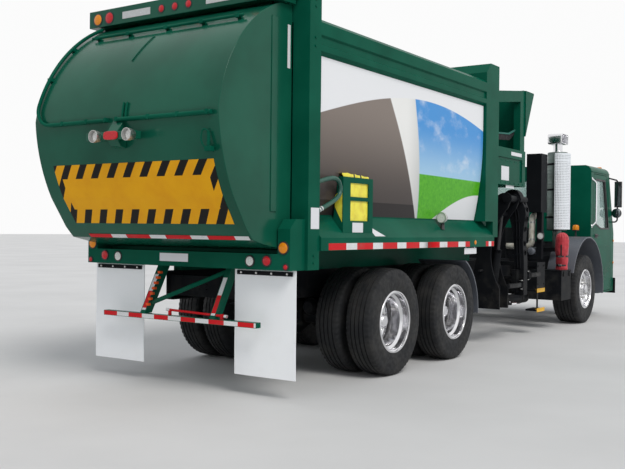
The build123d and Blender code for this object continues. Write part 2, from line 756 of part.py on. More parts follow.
def intake_pipe():
    """Thick pale pipe that bends down beside the stack towards the engine."""
    z = AIR_BOX_LOW - INTAKE_R
    route = [(5330, -740, z), (4960, -760, z), (4950, -760, 1200), (5075, 18 - ENGINE_Y, 1200)]
    path = FilletPolyline(*route, radius=90)
    start = Plane(origin=path @ 0, z_dir=path % 0)
    tube = sweep(start * Circle(INTAKE_R), path=path)
    return tube - block(4990, 5250, -ENGINE_Y, 0, 1100, 1300)


def exhaust():
    """Upright silencer with its pipe and square outlet."""
    x = STACK_X
    y = STACK_Y
    can = rod("z", STACK_LOW, STACK_TOP, x, y, STACK_R)
    neck = rod("z", STACK_TOP, STACK_TOP + 120, x, y, 70)
    outlet = block(x - 150, x + 150, y - 110, y + 110, STACK_TOP + 120, STACK_TOP + 275)
    pipe = rod("z", STACK_LOW - 260, STACK_LOW, x, y, 65)
    low = STACK_LOW - 320
    bracket = block(x - 60, x + 60, y, -RAIL_OUT_Y + 60, low, low + 60)
    foot = block(x - 60, x + 60, -RAIL_OUT_Y, -RAIL_OUT_Y + 60, RAIL_TOP, low)
    return can + outlet + neck + pipe + bracket + foot


def heat_shield():
    """Curved shield on the outboard side of the silencer."""
    x = STACK_X
    y = STACK_Y
    low = STACK_LOW + 20
    high = STACK_TOP - 20
    inner = SHIELD_R - SHIELD_T
    ring = rod("z", low, high, x, y, SHIELD_R) - rod("z", low - 1, high + 1, x, y, inner)
    ring -= block(x - SHIELD_R - 10, x + SHIELD_R + 10, y - 20, y + SHIELD_R + 10, low - 10, high + 10)
    for z in (low + 200, high - 240):
        ring += block(x - 20, x + 20, y - inner - 2, y - STACK_R, z, z + 40)
    return ring


# Kit box on the ledge
def ledge_height(y):
    """Height of the sloped ledge at a distance from the centre line."""
    share = (LEDGE_Y - y) / (LEDGE_Y - WALL_FOOT_Y)
    return LEDGE_TOP + share * (WALL_FOOT_Z - LEDGE_TOP)


def kit_holder():
    """Sheet box with two windows, standing on the right ledge."""
    out_y = KIT_OUT_Y
    in_y = KIT_IN_Y
    gap = 1.0
    shell = prism(
        "yz", KIT_REAR_X, KIT_FRONT_X,
        (-out_y, ledge_height(out_y) + gap), (-out_y, KIT_TOP), (-in_y - 52, KIT_TOP),
        (-in_y, ledge_height(in_y) + gap),
    )
    inside = prism(
        "yz", KIT_REAR_X + KIT_WALL, KIT_FRONT_X - KIT_WALL,
        (-out_y + 10, ledge_height(out_y) + 30), (-out_y + 10, KIT_TOP + 10), (-in_y - 62, KIT_TOP + 10),
        (-in_y - 10, ledge_height(in_y) + 40),
    )
    shell -= inside
    for z0, z1 in ((KIT_TOP - 390, KIT_TOP - 210), (KIT_TOP - 175, KIT_TOP - 50)):
        shell -= block(KIT_WINDOW_X0, KIT_WINDOW_X1, -out_y - 5, -out_y + KIT_WALL, z0, z1)
    return shell


def kit_bags():
    """Two soft bags side by side in the kit box, standing a little above it."""
    middle = (KIT_REAR_X + KIT_FRONT_X) / 2
    reach = (KIT_FRONT_X - KIT_REAR_X) / 2 - KIT_WALL - 20
    y0 = -KIT_OUT_Y + 10 + SEAT_GAP
    top = KIT_TOP + BAG_STANDS_UP
    rear = block(middle - reach, middle - 8, y0, y0 + 26, KIT_TOP - 420, top)
    front = block(middle + 8, middle + reach, y0, y0 + 26, KIT_TOP - 420, top - 20)
    return Compound(children=[rear, front])


def bend_radii(route):
    """Largest arc for each corner: 0.45 of its shorter run over the tangent of half its turn."""
    points = [Vector(*p) for p in route]
    radii = []
    for before, corner, after in zip(points, points[1:], points[2:]):
        run_in = corner - before
        run_out = after - corner
        half_turn = math.radians(run_in.get_angle(run_out)) / 2
        radii.append(0.45 * min(run_in.length, run_out.length) / math.tan(half_turn))
    return radii


def hose_loop():
    """Thick hose that loops out of the rear post and back into it."""
    x = BODY_REAR_X
    y = -RAIL_BAND_Y + 28
    # Columns: distance ahead of the post, height
    places = [(-15, 1816), (130, 1852), (280, 1874), (362, 1832), (372, 1745), (305, 1686), (140, 1621), (-15, 1569)]
    route = [(x + ahead, y, z) for ahead, z in places]
    radii = bend_radii(route)
    print("hose radii", [round(r) for r in radii])
    path = FilletPolyline(*route, radius=radii)
    start = Plane(origin=path @ 0, z_dir=path % 0)
    tube = sweep(start * Circle(HOSE_R), path=path)
    return tube - block(x - 50, x, y - 60, y + 60, 1500, 1900)


# Cab
def cab_arch(radius):
    """Points where an arch about the front axle meets the cab's rear face and a low height."""
    x = FRONT_AXLE_X
    z = FRONT_TYRE_R
    rear = (CAB_REAR_X, z + math.sqrt(radius**2 - (CAB_REAR_X - x) ** 2))
    middle = (x + radius * math.cos(math.radians(35)), z + radius * math.sin(math.radians(35)))
    return rear, middle


def arch_point(radius, height):
    """Point ahead of the front axle on an arch, at a height."""
    return (FRONT_AXLE_X + math.sqrt(radius**2 - (height - FRONT_TYRE_R) ** 2), height)


def door_outline(y0, y1, gap):
    """Door in side view, grown by gap all round."""
    arch = FENDER_R + SEAT_GAP + CAB_SKIN - gap
    low = CAB_SILL_Z + 30 - gap
    rear = DOOR_REAR_X - gap
    rear_z = FRONT_TYRE_R + math.sqrt(arch**2 - (rear - FRONT_AXLE_X) ** 2)
    mid = math.radians(25)
    middle = (FRONT_AXLE_X + arch * math.cos(mid), FRONT_TYRE_R + arch * math.sin(mid))
    slope = (CAB_FRONT_X - SCREEN_TOP_X) / (SCREEN_TOP_Z - SCREEN_FOOT_Z)
    front = DOOR_FRONT_X + gap
    top = DOOR_TOP_Z + gap
    return prism(
        "xz", y0, y1,
        (rear, rear_z), (rear, top), (front - slope * (top - SCREEN_FOOT_Z), top), (front, SCREEN_FOOT_Z),
        (front, low), arch_point(arch, low), (middle, (rear, rear_z)),
    )


def cab_side_outline(y0, y1):
    """Whole cab in side view."""
    arch = FENDER_R + SEAT_GAP
    rear, middle = cab_arch(arch)
    foot = arch_point(arch, CAB_SILL_Z)
    return prism(
        "xz", y0, y1,
        rear, (CAB_REAR_X, SCREEN_TOP_Z), (SCREEN_TOP_X, SCREEN_TOP_Z), (CAB_FRONT_X, SCREEN_FOOT_Z),
        (CAB_FRONT_X, CAB_SILL_Z), foot, (middle, rear),
    )


def cab_sides():
    """Door frames of both sides with the rear wall between them."""
    y0 = CAB_Y - CAB_SKIN
    side = cab_side_outline(y0, CAB_Y) - door_outline(y0 - 1, CAB_Y + 1, DOOR_GAP)
    rear_low = cab_arch(FENDER_R + SEAT_GAP)[0][1]
    wall = block(CAB_REAR_X, CAB_REAR_X + CAB_SKIN, -y0, y0, rear_low, SCREEN_TOP_Z)
    wall -= block(CAB_REAR_X - 1, CAB_REAR_X + CAB_SKIN + 1, -450, 450, 1750, 2250)
    return both_sides(side) + wall


def cab_roof():
    """Roof panel with rounded shoulders."""
    x0 = CAB_REAR_X
    x1 = SCREEN_TOP_X
    z0 = SCREEN_TOP_Z
    z1 = CAB_ROOF_Z
    roof = prism(
        "yz", x0, x1,
        (-CAB_Y, z0), ((-CAB_Y + 25, z0 + 60), (-CAB_Y + 100, z1)), (CAB_Y - 100, z1),
        ((CAB_Y - 25, z0 + 60), (CAB_Y, z0)),
    )
    roof -= block(x0 + CAB_SKIN, x1 - CAB_SKIN, -CAB_Y + 90, CAB_Y - 90, z0 - 1, z1 - 30)
    return roof


def cab_floor():
    """Floor over the rails, rising over the wheel arch to a rear shelf."""
    y = CAB_Y - CAB_SKIN
    arch = FENDER_R + SEAT_GAP
    rear, middle = cab_arch(arch)
    up = 40.0
    top_rear, top_middle = cab_arch(arch + up)
    low = RAIL_LOW_TOP
    inset = CAB_REAR_X + CAB_SKIN
    rear_z = FRONT_TYRE_R + math.sqrt(arch**2 - (inset - FRONT_AXLE_X) ** 2)
    top_z = FRONT_TYRE_R + math.sqrt((arch + up) ** 2 - (inset - FRONT_AXLE_X) ** 2)
    return prism(
        "xz", -y, y,
        (inset, rear_z), (inset, top_z), (top_middle, arch_point(arch + up, low + up)),
        (CAB_FRONT_X - CAB_SKIN, low + up), (CAB_FRONT_X - CAB_SKIN, low), arch_point(arch, low),
        (middle, (inset, rear_z)),
    )


def cab_front():
    """Front panel with the windscreen opening and the grille slots."""
    y = CAB_Y - CAB_SKIN
    x0 = CAB_FRONT_X - CAB_SKIN
    lower = block(x0, CAB_FRONT_X, -y, y, RAIL_LOW_TOP, SCREEN_FOOT_Z - 40)
    for i in range(5):
        z = 760 + 90 * i
        lower -= block(x0 - 1, CAB_FRONT_X + 1, -420, 420, z, z + 45)
    upper = prism(
        "xz", -y, y,
        (x0, SCREEN_FOOT_Z - 40), (CAB_FRONT_X, SCREEN_FOOT_Z - 40), (CAB_FRONT_X, SCREEN_FOOT_Z),
        (SCREEN_TOP_X, SCREEN_TOP_Z), (SCREEN_TOP_X - CAB_SKIN, SCREEN_TOP_Z), (x0, SCREEN_FOOT_Z),
    )
    mouth = prism(
        "xz", -y + 60, y - 60,
        (CAB_FRONT_X - 120, SCREEN_FOOT_Z + 60), (CAB_FRONT_X + 60, SCREEN_FOOT_Z + 60),
        (SCREEN_TOP_X + 100, SCREEN_TOP_Z - 70), (SCREEN_TOP_X - 120, SCREEN_TOP_Z - 70),
    )
    return lower + upper - mouth


def cab_glass():
    """Windscreen and rear window."""
    y = CAB_Y - CAB_SKIN - 60
    slope = (CAB_FRONT_X - SCREEN_TOP_X) / (SCREEN_TOP_Z - SCREEN_FOOT_Z)
    z0 = SCREEN_FOOT_Z + 60
    z1 = SCREEN_TOP_Z - 70
    x0 = CAB_FRONT_X - slope * 60 - 30
    x1 = SCREEN_TOP_X + slope * 70 - 30
    screen = prism("xz", -y, y, (x0, z0), (x0 - 8, z0), (x1 - 8, z1), (x1, z1))
    rear = block(CAB_REAR_X + 20, CAB_REAR_X + 28, -450, 450, 1750, 2250)
    return screen + rear


def door():
    """Left door: skin as thick as the whole door, with its window cut."""
    y0 = CAB_Y - CAB_SKIN
    skin = door_outline(y0, CAB_Y, 0)
    return skin - window_outline(y0 - 1, CAB_Y + 1)


def window_outline(y0, y1):
    """Door window in side view."""
    return prism(
        "xz", y0, y1,
        (DOOR_REAR_X + 90, 1560), (DOOR_REAR_X + 90, DOOR_TOP_Z - 80), (7330, DOOR_TOP_Z - 80), (7570, 1480),
        (7100, 1480),
    )


def door_glass():
    """Pane set in the left door."""
    middle = CAB_Y - CAB_SKIN / 2
    return window_outline(middle - 4, middle + 4)


def cab_interior():
    """Two seats, the dash and the steering column."""
    base = block(6930, 7330, 250, 750, 1240, 1380)
    back = prism("xz", 260, 740, (6930, 1380), (6820, 2000), (6900, 2010), (7040, 1380))
    stand = block(7060, 7260, 350, 650, RAIL_LOW_TOP + 40, 1240)
    seats = both_sides(base + back + stand)
    dash = prism(
        "xz", -1080, 1080,
        (7780, RAIL_LOW_TOP + 300), (7820, 1330), (7560, 1360), (7500, 1300), (7600, 1150),
    )
    dash += both_sides(block(7700, CAB_FRONT_X - CAB_SKIN, 900, 1080, 1100, 1300))
    return seats + dash


def steering_wheel():
    """Steering wheel on its column."""
    hub = Plane(origin=(7330, 500, 1560), z_dir=(0.82, 0, -0.57))
    ring = extrude(hub * Circle(224), amount=26) - extrude(hub * Circle(198), amount=26)
    spoke = extrude(hub * Rectangle(40, 400), amount=14)
    column = extrude(hub * Circle(30), amount=330)
    return ring + spoke + column


def front_bumper():
    """Deep front bumper on the rail ends, with a tow eye under each."""
    x = CAB_FRONT_X
    low = BUMPER_BOTTOM
    corner = x + BUMPER_BULGE - 30
    bumper = prism(
        "xy", low, BUMPER_TOP,
        (x, -CAB_Y - 40), (corner, -CAB_Y), ((x + BUMPER_BULGE, 0), (corner, CAB_Y)), (x, CAB_Y + 40),
    )
    horn = block(RAIL_FRONT_X, x + 10, RAIL_OUT_Y - RAIL_FLANGE, RAIL_OUT_Y, RAIL_LOW_TOP - RAIL_LOW_H, RAIL_LOW_TOP - 40)
    bumper += both_sides(horn)
    for y in (TOW_EYE_Y, -TOW_EYE_Y):
        eye = prism(
            "xz", y - TOW_EYE_T / 2, y + TOW_EYE_T / 2,
            (x - 30, low), (x - 20, low - 60), ((x + 20, low - 90), (x + 55, low - 60)), (x + 65, low),
        )
        bumper += eye - rod("y", y - TOW_EYE_T, y + TOW_EYE_T, x + 20, low - 45, TOW_EYE_R)
    return bumper


def mirrors():
    """Mirror heads on hoops from the front pillars."""
    x = 7765.0
    y = CAB_Y + 90
    route = [(7568, CAB_Y - 6, SCREEN_TOP_Z - 60), (x, y, SCREEN_TOP_Z - 90), (x, y, 1600), (x, CAB_Y - 6, 1600)]
    path = FilletPolyline(*route, radius=50)
    start = Plane(origin=path @ 0, z_dir=path % 0)
    hoop = sweep(start * Circle(13), path=path) - block(7400, x + 50, CAB_Y - 60, CAB_Y, 1500, SCREEN_TOP_Z)
    head = block(x - 25, x + 25, y - 45, y + 70, 1850, 2290)
    dish = rod("x", x - 30, x + 10, y - 10, 1750, 80)
    return both_sides(hoop + head + dish)


# Side arm
def arm_base():
    """Sleeve under the rails that the arm slides in, welded to them."""
    x0 = SLEEVE_X
    x1 = SLEEVE_X + SLEEVE_W
    z0 = SLEEVE_BOTTOM
    z1 = SLEEVE_BOTTOM + SLEEVE_H
    t = SLEEVE_WALL
    sleeve = block(x0, x1, -SLEEVE_Y, SLEEVE_Y, z0, z1)
    sleeve -= block(x0 + t, x1 - t, -SLEEVE_Y - 1, SLEEVE_Y + 1, z0 + t, z1 - t)
    hanger = block(x0, x1, RAIL_OUT_Y - RAIL_FLANGE, RAIL_OUT_Y, z1, RAIL_TOP - RAIL_H)
    return sleeve + both_sides(hanger)


def arm_carriage():
    """Inner beam with the mast plates that hold the boom's shaft."""
    t = SLEEVE_WALL + SEAT_GAP
    x0 = SLEEVE_X + t
    x1 = SLEEVE_X + SLEEVE_W - t
    z0 = SLEEVE_BOTTOM + t
    z1 = SLEEVE_BOTTOM + SLEEVE_H - t
    beam = block(x0, x1, -1000, SLEEVE_Y - 20, z0, z1)
    plate_at = (SLEEVE_X - 60, SLEEVE_X + SLEEVE_W + 30)
    y = ARM_PIVOT_Y
    z = ARM_PIVOT_Z
    for x in plate_at:
        plate = prism(
            "yz", x, x + MAST_T,
            (-760, z0 - 20), (-1130, z0 - 20), (-1130, 700), ((-1010, 1200), (y - 20, z - 120)),
            (y - 60, z - 20), ((y, z + 62), (y + 130, z - 10)), ((-880, 1300), (-760, 760)),
        )
        plate -= rod("x", x - 1, x + MAST_T + 1, y, z, ARM_SHAFT_R + SEAT_GAP)
        beam += plate
    beam += block(plate_at[0], plate_at[1] + MAST_T, -1000, -760, z0 - 20, z1 + 20)
    beam += block(plate_at[0], plate_at[1] + MAST_T, -900, -870, 1100, 1300)
    return beam


def boom_outline(x0, x1, inset):
    """The boom's bowed side shape across the truck, inset by its wall, swept along X."""
    t = inset
    return prism(
        "yz", x0, x1,
        (-970 - t, 1870), ((-1045, 1958 - t), (-1203 + t, 1838)),
        ((-1258 + t, 1745), (-1278 + t, 1640)), ((-1252 + t, 1450), (-1243 + t, 1280)),
        (-1262 + t, 1040), (-1262 + t, 600 + t), (-1140 - t, 600 + t), (-1125 - t, 1040),
        ((-1105 - t, 1400), (-1040 - t, 1660)),
    )


def arm_boom():
    """Bowed box boom on its shaft, with a row of holes through its outer wall."""
    x0 = BOOM_X
    x1 = BOOM_X + BOOM_W
    boom = boom_outline(x0, x1, 0)
    boom -= boom_outline(x0 + BOOM_WALL, x1 - BOOM_WALL, BOOM_WALL)
    middle = (x0 + x1) / 2
    for z in (1795, 1700, 1580, 1455, 1265, 1145):
        boom -= rod("y", -1300, -1180, middle, z, 32)
    shaft = rod("x", SLEEVE_X - 80, x1 + 10, ARM_PIVOT_Y, ARM_PIVOT_Z, ARM_SHAFT_R)
    return boom + shaft


def arm_head():
    """Crossbeam at the boom's foot, with the ears and pins of both fingers."""
    back_y = -1200.0
    head = block(FINGER_REAR_X - 50, FINGER_FRONT_X + 50, back_y, back_y + 60, 640, 930)
    for x, z in ((FINGER_REAR_X, FINGER_REAR_Z), (FINGER_FRONT_X, FINGER_FRONT_Z)):
        for low in (z - FINGER_H / 2 - 5 - 14, z + FINGER_H / 2 + 5):
            head += block(x - 30, x + 30, FINGER_PIN_Y - 30, back_y, low, low + 14)
        head += rod("z", z - FINGER_H / 2 - 10, z + FINGER_H / 2 + 10, x, FINGER_PIN_Y, FINGER_PIN_R)
    return head


def finger(x, z, forward):
    """Curved finger along the truck's side from its pin; forward is +1 or -1."""
    y = FINGER_PIN_Y
    reach = FINGER_REACH * forward
    half = FINGER_H / 2
    arm = prism(
        "xy", z - half, z + half,
        (x, y - 12), ((x + reach / 2, y - 26), (x + reach, y - 8)), (x + reach, y + 10),
        ((x + reach / 2, y - 4), (x, y + 12)),
    )
    arm += rod("z", z - half, z + half, x, y, FINGER_PIN_R + 14)
    return arm - rod("z", z - half - 1, z + half + 1, x, y, FINGER_PIN_R + SEAT_GAP)


def access_steps():
    """Hanging plate with two treads between the arm and the front wheel."""
    y = -1150.0
    plate = block(4100, 4410, y, y + 12, 620, 1000)
    link = block(4110, 4150, y, y + 12, 330, 620)
    treads = block(4100, 4410, y, y + 160, 600, 625) + block(4100, 4410, y, y + 160, 330, 355)
    arm = block(4220, 4300, y, -RAIL_OUT_Y, 940, 1000)
    return plate + link + treads + arm


# Lamps
def lamps_red():
    """Red lenses on the rear beam, boxes and visor line."""
    lens = None
    for y, z, r in ((957, 1156, 42), (1150, 1110, 22)):
        one = both_sides(rod("x", REAR_BEAM_X - 20, REAR_BEAM_X, y, z, r))
        lens = one if lens is None else lens + one
    return lens


def lamps_amber():
    """Amber lenses of the turn lamps and side markers."""
    lens = both_sides(rod("x", REAR_BEAM_X - 20, REAR_BEAM_X, 1125, 1266, 48))
    marker = both_sides(rod("y", LEDGE_Y, LEDGE_Y + 12, AMBER_MARKER_X, 1290, 25))
    return lens + marker


def lamps_clear():
    """Clear lenses of the reversing lamps and headlamps, and the work lamp on the ledge."""
    lens = both_sides(rod("x", REAR_BEAM_X - 20, REAR_BEAM_X, 781, 1150, 42))
    head = both_sides(rod("x", CAB_FRONT_X, CAB_FRONT_X + 25, 900, 820, 95))
    x = LEDGE_LAMP_X
    y = LEDGE_LAMP_Y
    work = rod("x", x - 60, x + 40, y, LEDGE_LAMP_Z, LEDGE_LAMP_R)
    half = 12.0
    top = LEDGE_LAMP_Z - LEDGE_LAMP_R + 10
    foot = prism(
        "yz", x - 22, x + 22,
        (y - half, ledge_height(half - y) + SEAT_GAP), (y - half, top), (y + half, top),
        (y + half, ledge_height(-half - y) + SEAT_GAP),
    )
    return lens + head + (work + foot)


def main():
    """Build and write every node."""
    save("frame_rails", frame_rails() + bogie_hangers() + arm_base())
    save("front_axle", front_axle())
    save("rear_axles", rear_axles())
    save("engine", engine())
    save("knuckle_left", knuckle())
    save("knuckle_right", mirrored(knuckle()))
    tyre, rim = front_wheel()
    save("tyre_front_left", tyre)
    save("rim_front_left", rim)
    save("tyre_front_right", mirrored(tyre))
    save("rim_front_right", mirrored(rim))
    for place, x in (("rear", 0.0), ("middle", TANDEM_SPACING)):
        for name, side in (("left", 1), ("right", -1)):
            tyres, rims = rear_pair(x, side)
            save(f"tyres_{place}_{name}", tyres)
            save(f"rims_{place}_{name}", rims)
    save("body_floor", body_floor())
    save("body_wall_right", body_wall(-1, BODY_REAR_X, BODY_FRONT_X))
    save("body_wall_left", body_wall(1, BODY_REAR_X, BODY_FRONT_X))
    save("body_roof", body_roof())
    save("rear_frame", rear_frame())
    save("bulkhead", bulkhead())
    save("hopper", hopper())
    save("packer", packer())
    save("tailgate", tailgate() + tailgate_pipes())
    save("rear_bumper", rear_bumper())
    save("mudflaps", mudflaps())
    save("quarter_fenders", quarter_fenders())
    save("front_fenders", front_fenders())
    save("fuel_tank_and_battery_box", fuel_tank() + battery_box())
    save("extinguisher", extinguisher())
    save("air_cleaner", air_cleaner())
    save("intake_pipe", intake_pipe())
    save("exhaust", exhaust())
    save("heat_shield", heat_shield())
    save("kit_holder", kit_holder())
    save("kit_bags", kit_bags())
    save("hose_loop", hose_loop())
    save("cab_sides", cab_sides())
    save("cab_roof", cab_roof())
    save("cab_floor", cab_floor())
    save("cab_front", cab_front())
    save("cab_glass", cab_glass())
    save("cab_interior", cab_interior() + steering_wheel())
    save("door_left", door())
    save("door_right", mirrored(door()))
    save("glass_left", door_glass())
    save("glass_right", mirrored(door_glass()))
    save("front_bumper", front_bumper())
    save("mirrors", mirrors())
    save("arm_carriage", arm_carriage())
    save("arm_boom", arm_boom() + arm_head())
    save("finger_rear", finger(FINGER_REAR_X, FINGER_REAR_Z, -1))
    save("finger_front", finger(FINGER_FRONT_X, FINGER_FRONT_Z, 1))
    save("access_steps", access_steps())
    save("lamps_red", lamps_red())
    save("lamps_amber", lamps_amber())
    save("lamps_clear", lamps_clear())


main()
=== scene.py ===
import logging
import math
from collections.abc import Sequence
from dataclasses import dataclass, field
from enum import Enum
from functools import cache, reduce

import bmesh
import bpy
import numpy as np
from mathutils import Matrix


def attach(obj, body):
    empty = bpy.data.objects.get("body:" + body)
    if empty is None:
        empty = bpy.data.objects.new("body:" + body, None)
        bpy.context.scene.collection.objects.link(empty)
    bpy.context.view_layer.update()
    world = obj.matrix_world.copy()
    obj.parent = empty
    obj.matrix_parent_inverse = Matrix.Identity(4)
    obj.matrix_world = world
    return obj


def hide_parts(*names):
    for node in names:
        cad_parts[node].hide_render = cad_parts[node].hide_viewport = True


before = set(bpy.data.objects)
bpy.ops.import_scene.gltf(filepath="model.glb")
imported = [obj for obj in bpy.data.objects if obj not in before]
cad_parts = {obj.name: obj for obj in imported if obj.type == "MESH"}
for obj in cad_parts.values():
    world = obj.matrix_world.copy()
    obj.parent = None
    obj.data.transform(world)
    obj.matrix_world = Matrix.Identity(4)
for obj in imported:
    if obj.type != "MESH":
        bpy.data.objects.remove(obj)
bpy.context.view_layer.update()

LOG = logging.getLogger("truck")
Array = np.ndarray
Colour = tuple[float, float, float]
Line = tuple[tuple[float, float], ...]
Outline = Array | Sequence[Sequence[float]]

# Stations along X are measured from the rearmost axle, in metres, as in the part's drawing.
ORIGIN_STATION = 2.635


def at(station: float) -> float:
    """Turn a station measured from the rearmost axle into the model's X."""
    return station - ORIGIN_STATION


def row(*values: float) -> Array:
    """A float array from a few numbers."""
    return np.array(values, float)


def spot(station: float, side: float, height: float) -> Array:
    """A point from its station, its distance to the left and its height."""
    return row(at(station), side, height)


def upright(line: Array, side: float | Array) -> Array:
    """Points from rows of station and height, at one distance to the left or one for each."""
    return np.stack([at(0) + line[:, 0], 0 * line[:, 0] + side, line[:, 1]], -1)


# Shapes


def arc_points(start: Sequence[float], middle: Sequence[float], end: Sequence[float], count: int) -> Array:
    """Points on the circle through three flat points, from the first to the last.

    The centre solves the two equations of equal distance; the angle runs evenly between the ends.

    Args:
        start: first point, two numbers.
        middle: a point in between.
        end: last point.
        count: how many points to return.

    Returns:
        An array of count rows and two columns.
    """
    a, b, c = (np.array(p, float) for p in (start, middle, end))
    system = 2 * np.array([b - a, c - a])
    centre = np.linalg.solve(system, row(b @ b - a @ a, c @ c - a @ a))
    angles = [math.atan2(*(p - centre)[::-1]) for p in (a, b, c)]
    sweep = (angles[2] - angles[0]) % (2 * math.pi)
    if (angles[1] - angles[0]) % (2 * math.pi) > sweep:
        sweep -= 2 * math.pi
    turn = angles[0] + np.linspace(0, 1, count) * sweep
    radius = np.linalg.norm(a - centre)
    return centre + radius * np.stack([np.cos(turn), np.sin(turn)], -1)


def rounded_path(points: Sequence[Sequence[float]], radius: float, steps: int = 8) -> Array:
    """A path whose corners are rounded by quadratic curves.

    Each corner P between neighbours A and B becomes the curve (1-t)^2 P1 + 2t(1-t) P + t^2 P2,
    where P1 and P2 lie on the two runs, radius away from P or at half the run.

    Args:
        points: corners of the path.
        radius: how far from a corner its curve starts.
        steps: points on each curve.

    Returns:
        The points of the rounded path.
    """
    corners = np.array(points, float)
    pieces = [corners[:1]]
    t = np.linspace(0, 1, steps)[:, None]
    for before, corner, after in zip(corners[:-2], corners[1:-1], corners[2:]):
        back = before - corner
        ahead = after - corner
        first = corner + back * min(0.5, radius / np.linalg.norm(back))
        last = corner + ahead * min(0.5, radius / np.linalg.norm(ahead))
        pieces.append((1 - t) ** 2 * first + 2 * t * (1 - t) * corner + t**2 * last)
    pieces.append(corners[-1:])
    return np.vstack(pieces)


def frames_along(path: Array) -> tuple[Array, Array]:
    """Two unit vectors square to a path at each of its points.

    The tangent is the mean of the two runs that meet; the side vector is the tangent crossed with
    the axis that the whole path leans on least, and the third is their cross product.

    Args:
        path: points of the path.

    Returns:
        Side and up vectors, one row for each point.
    """
    runs = np.gradient(path, axis=0)
    tangent = runs / np.linalg.norm(runs, axis=1, keepdims=True)
    least = np.eye(3)[np.argmin(np.abs(tangent).sum(0))]
    side = np.cross(tangent, least)
    side /= np.linalg.norm(side, axis=1, keepdims=True)
    return side, np.cross(tangent, side)


def swept(line: Array, sides: Array) -> Array:
    """Grid with a row for each station and height of a line, and a column for each side distance."""
    parts = at(0) + line[:, :1], sides, line[:, 1:]
    return np.stack([np.broadcast_to(part, (len(line), len(sides))) for part in parts], -1)


def bent(centre: Sequence[float], radius: float | Array, angle: Array, height: float | Array) -> Array:
    """Points on an upright cylinder: (x + r cos a, y + r sin a, z)."""
    x, y = centre
    return np.stack([x + radius * np.cos(angle), y + radius * np.sin(angle), 0 * angle + height], -1)


def shift_normals(grid: Array, distance: float) -> Array:
    """Move an open grid of points along its own normals.

    The normal is the cross product of the two central differences, made unit length.

    Args:
        grid: points, rows by columns by three.
        distance: how far to move them.

    Returns:
        The moved grid.
    """
    normal = np.cross(np.gradient(grid, axis=0), np.gradient(grid, axis=1))
    normal /= np.linalg.norm(normal, axis=2, keepdims=True) + 1e-12
    return grid + normal * distance


